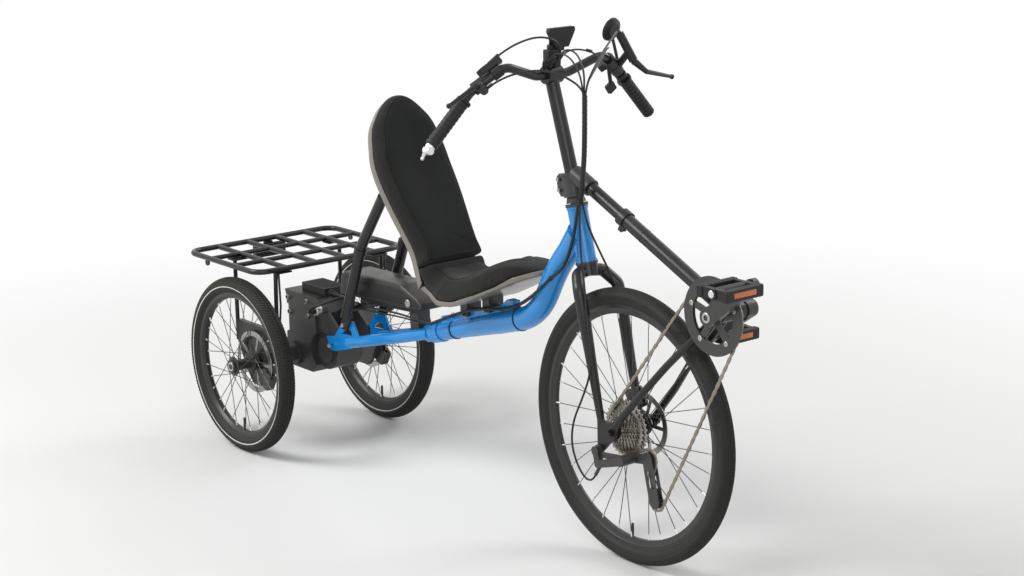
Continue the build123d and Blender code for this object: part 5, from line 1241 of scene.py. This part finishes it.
# Display bracket: two moulded blocks on the bar clamp, with the plugs of the display's leads
# pushed in round its foot.
blocks("display_bracket", [
    (at(1.099, -0.022, 1.194), at(1.122, 0.006, 1.236)),
    (at(1.104, -0.014, 1.230), at(1.117, 0.034, 1.248)),
], 0.003, moulded, "steering", "black_plastic")
plugs = bmesh.new()
for start, end, radius in (
    ((1.120, -0.018, 1.196), (1.140, -0.016, 1.222), 0.0055),
    ((1.118, -0.003, 1.200), (1.136, 0.002, 1.228), 0.0050),
    ((1.112, -0.030, 1.190), (1.126, -0.034, 1.214), 0.0055),
    ((1.106, 0.012, 1.198), (1.124, 0.018, 1.222), 0.0045),
):
    stub_into(plugs, start, end, radius,
              ((0, 1), (0.45, 1), (0.5, 1.25), (0.9, 1.2), (1, 0.6)), 14)
shown("display_plugs", plugs, moulded, "steering")

# Cable ties: moulded plastic bands, drawn tight round the loom at four places and round the
# main tube at two.
ties = bmesh.new()
for place, way, reach in (
        (at(1.140, -0.040, 0.676), Vector((-0.75, 0, -0.6)), 0.0064),
        (at(1.000, -0.030, 0.578), Vector((-0.9, 0.05, -0.4)), 0.0064),
        (at(0.930, -0.026, 0.554), Vector((-1, 0, -0.2)), 0.0064),
        (at(0.740, -0.040, 0.506), Vector((-0.93, 0, -0.38)), 0.0064)):
    turn_into(ties, place - way.normalized() * 0.0016, way,
              [(0, reach - 0.001), (0, reach), (0.0032, reach), (0.0032, reach - 0.001)],
              steps=20, ring=True)
tube_slope = 0.293
for ahead, tube_reach in ((0.975, 0.0304), (0.700, 0.0262)):
    tube_middle = at(ahead, 0, 0.425 + (ahead - 0.605) * tube_slope)
    turn_into(ties, tube_middle, Vector((1, 0, tube_slope)),
              [(0, tube_reach - 0.001), (0, tube_reach + 0.0012), (0.0036, tube_reach + 0.0012),
               (0.0036, tube_reach - 0.001)], steps=40, ring=True)
shown("cable_ties", ties, moulded, "frame")

# Motor plug: a turned zinc nut on the drive's stub, and the motor's sheathed lead from it up
# to the controller.
shown("motor_plug", turned(at(0.149, -0.068, 0.412), to_right, [
    (0, 0.0128), (0, 0.0142), (0.004, 0.0146), (0.012, 0.0146), (0.0155, 0.0138),
    (0.0185, 0.0120), (0.0185, 0.0100)], steps=40), zinc, "frame")
cables("motor_lead", [(0.0042, [
    (0.149, -0.085, 0.412), (0.150, -0.104, 0.413), (0.163, -0.116, 0.421),
    (0.186, -0.110, 0.436), (0.208, -0.088, 0.448), (0.222, -0.062, 0.455),
    (0.218, -0.034, 0.456), (0.196, -0.018, 0.452), (0.174, -0.014, 0.449)])], "frame",
       ends=[((0.149, -0.084, 0.412), (0.149, -0.100, 0.4125), 0.0085)])

# Battery: a rounded moulded case with a black panel let into each side and a bright charging
# port on the right.
battery_case = finish_of("battery_case", (0.026, 0.026, 0.022), (0.07, 0.068, 0.06), 0.34,
                         wear=0.15, dust=0.12, mottle=0.12, grain_scale=900.0,
                         grain_depth=0.00004, specular=0.4)
battery_outline = [(0.2145, 0.4675), (0.6005, 0.4880), (0.6050, 0.5050), (0.5840, 0.5195),
                   (0.5090, 0.5470), (0.2475, 0.5405), (0.2260, 0.5295)]


def slab(outline, low, high, rounding, segments):
    """A side-view outline between two distances left, with its edges rounded."""
    shape = bmesh.new()
    face = shape.faces.new([shape.verts.new(at(ahead, low, up)) for ahead, up in outline])
    moved = bmesh.ops.extrude_face_region(shape, geom=[face])["geom"]
    for item in moved:
        if isinstance(item, bmesh.types.BMVert):
            item.co.y = high
    bmesh.ops.bevel(shape, geom=list(shape.edges), offset=rounding, segments=segments,
                    affect="EDGES", profile=0.5)
    return shape


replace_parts(shown("battery_hull", slab(battery_outline, -0.0448, 0.0448, 0.0085, 5),
                  battery_case, "frame"), "battery")
panel_outline = [(0.232, 0.4790), (0.590, 0.4965), (0.592, 0.5030), (0.577, 0.5120),
                 (0.505, 0.5340), (0.252, 0.5275), (0.238, 0.5200)]
for side in (-1, 1):
    low, high = sorted((side * 0.0430, side * 0.0462))
    shown("battery_panel_" + ("right" if side < 0 else "left"),
          slab(panel_outline, low, high, 0.0009, 2), moulded, "frame")
shown("charging_port", turned(at(0.546, -0.0455, 0.502), to_right,
                              [(0, 0.0110), (0.0024, 0.0110), (0.0034, 0.0100),
                               (0.0034, 0.0078), (0.0014, 0.0070), (0.0014, 0.0)], steps=32),
      zinc, "frame")

# Chain: outer and inner plates of oiled steel on rollers, half an inch from pin to pin, in one
# loop from the chainring over the two pulleys to the sprockets.
chain_steel = finish_of("oiled_chain", (0.2, 0.165, 0.13), (0.55, 0.5, 0.42), 0.36,
                        metallic=0.9, wear=0.6, dust=0.12, mottle=0.4, grain_scale=300.0)
dress(chain_steel, "chain")
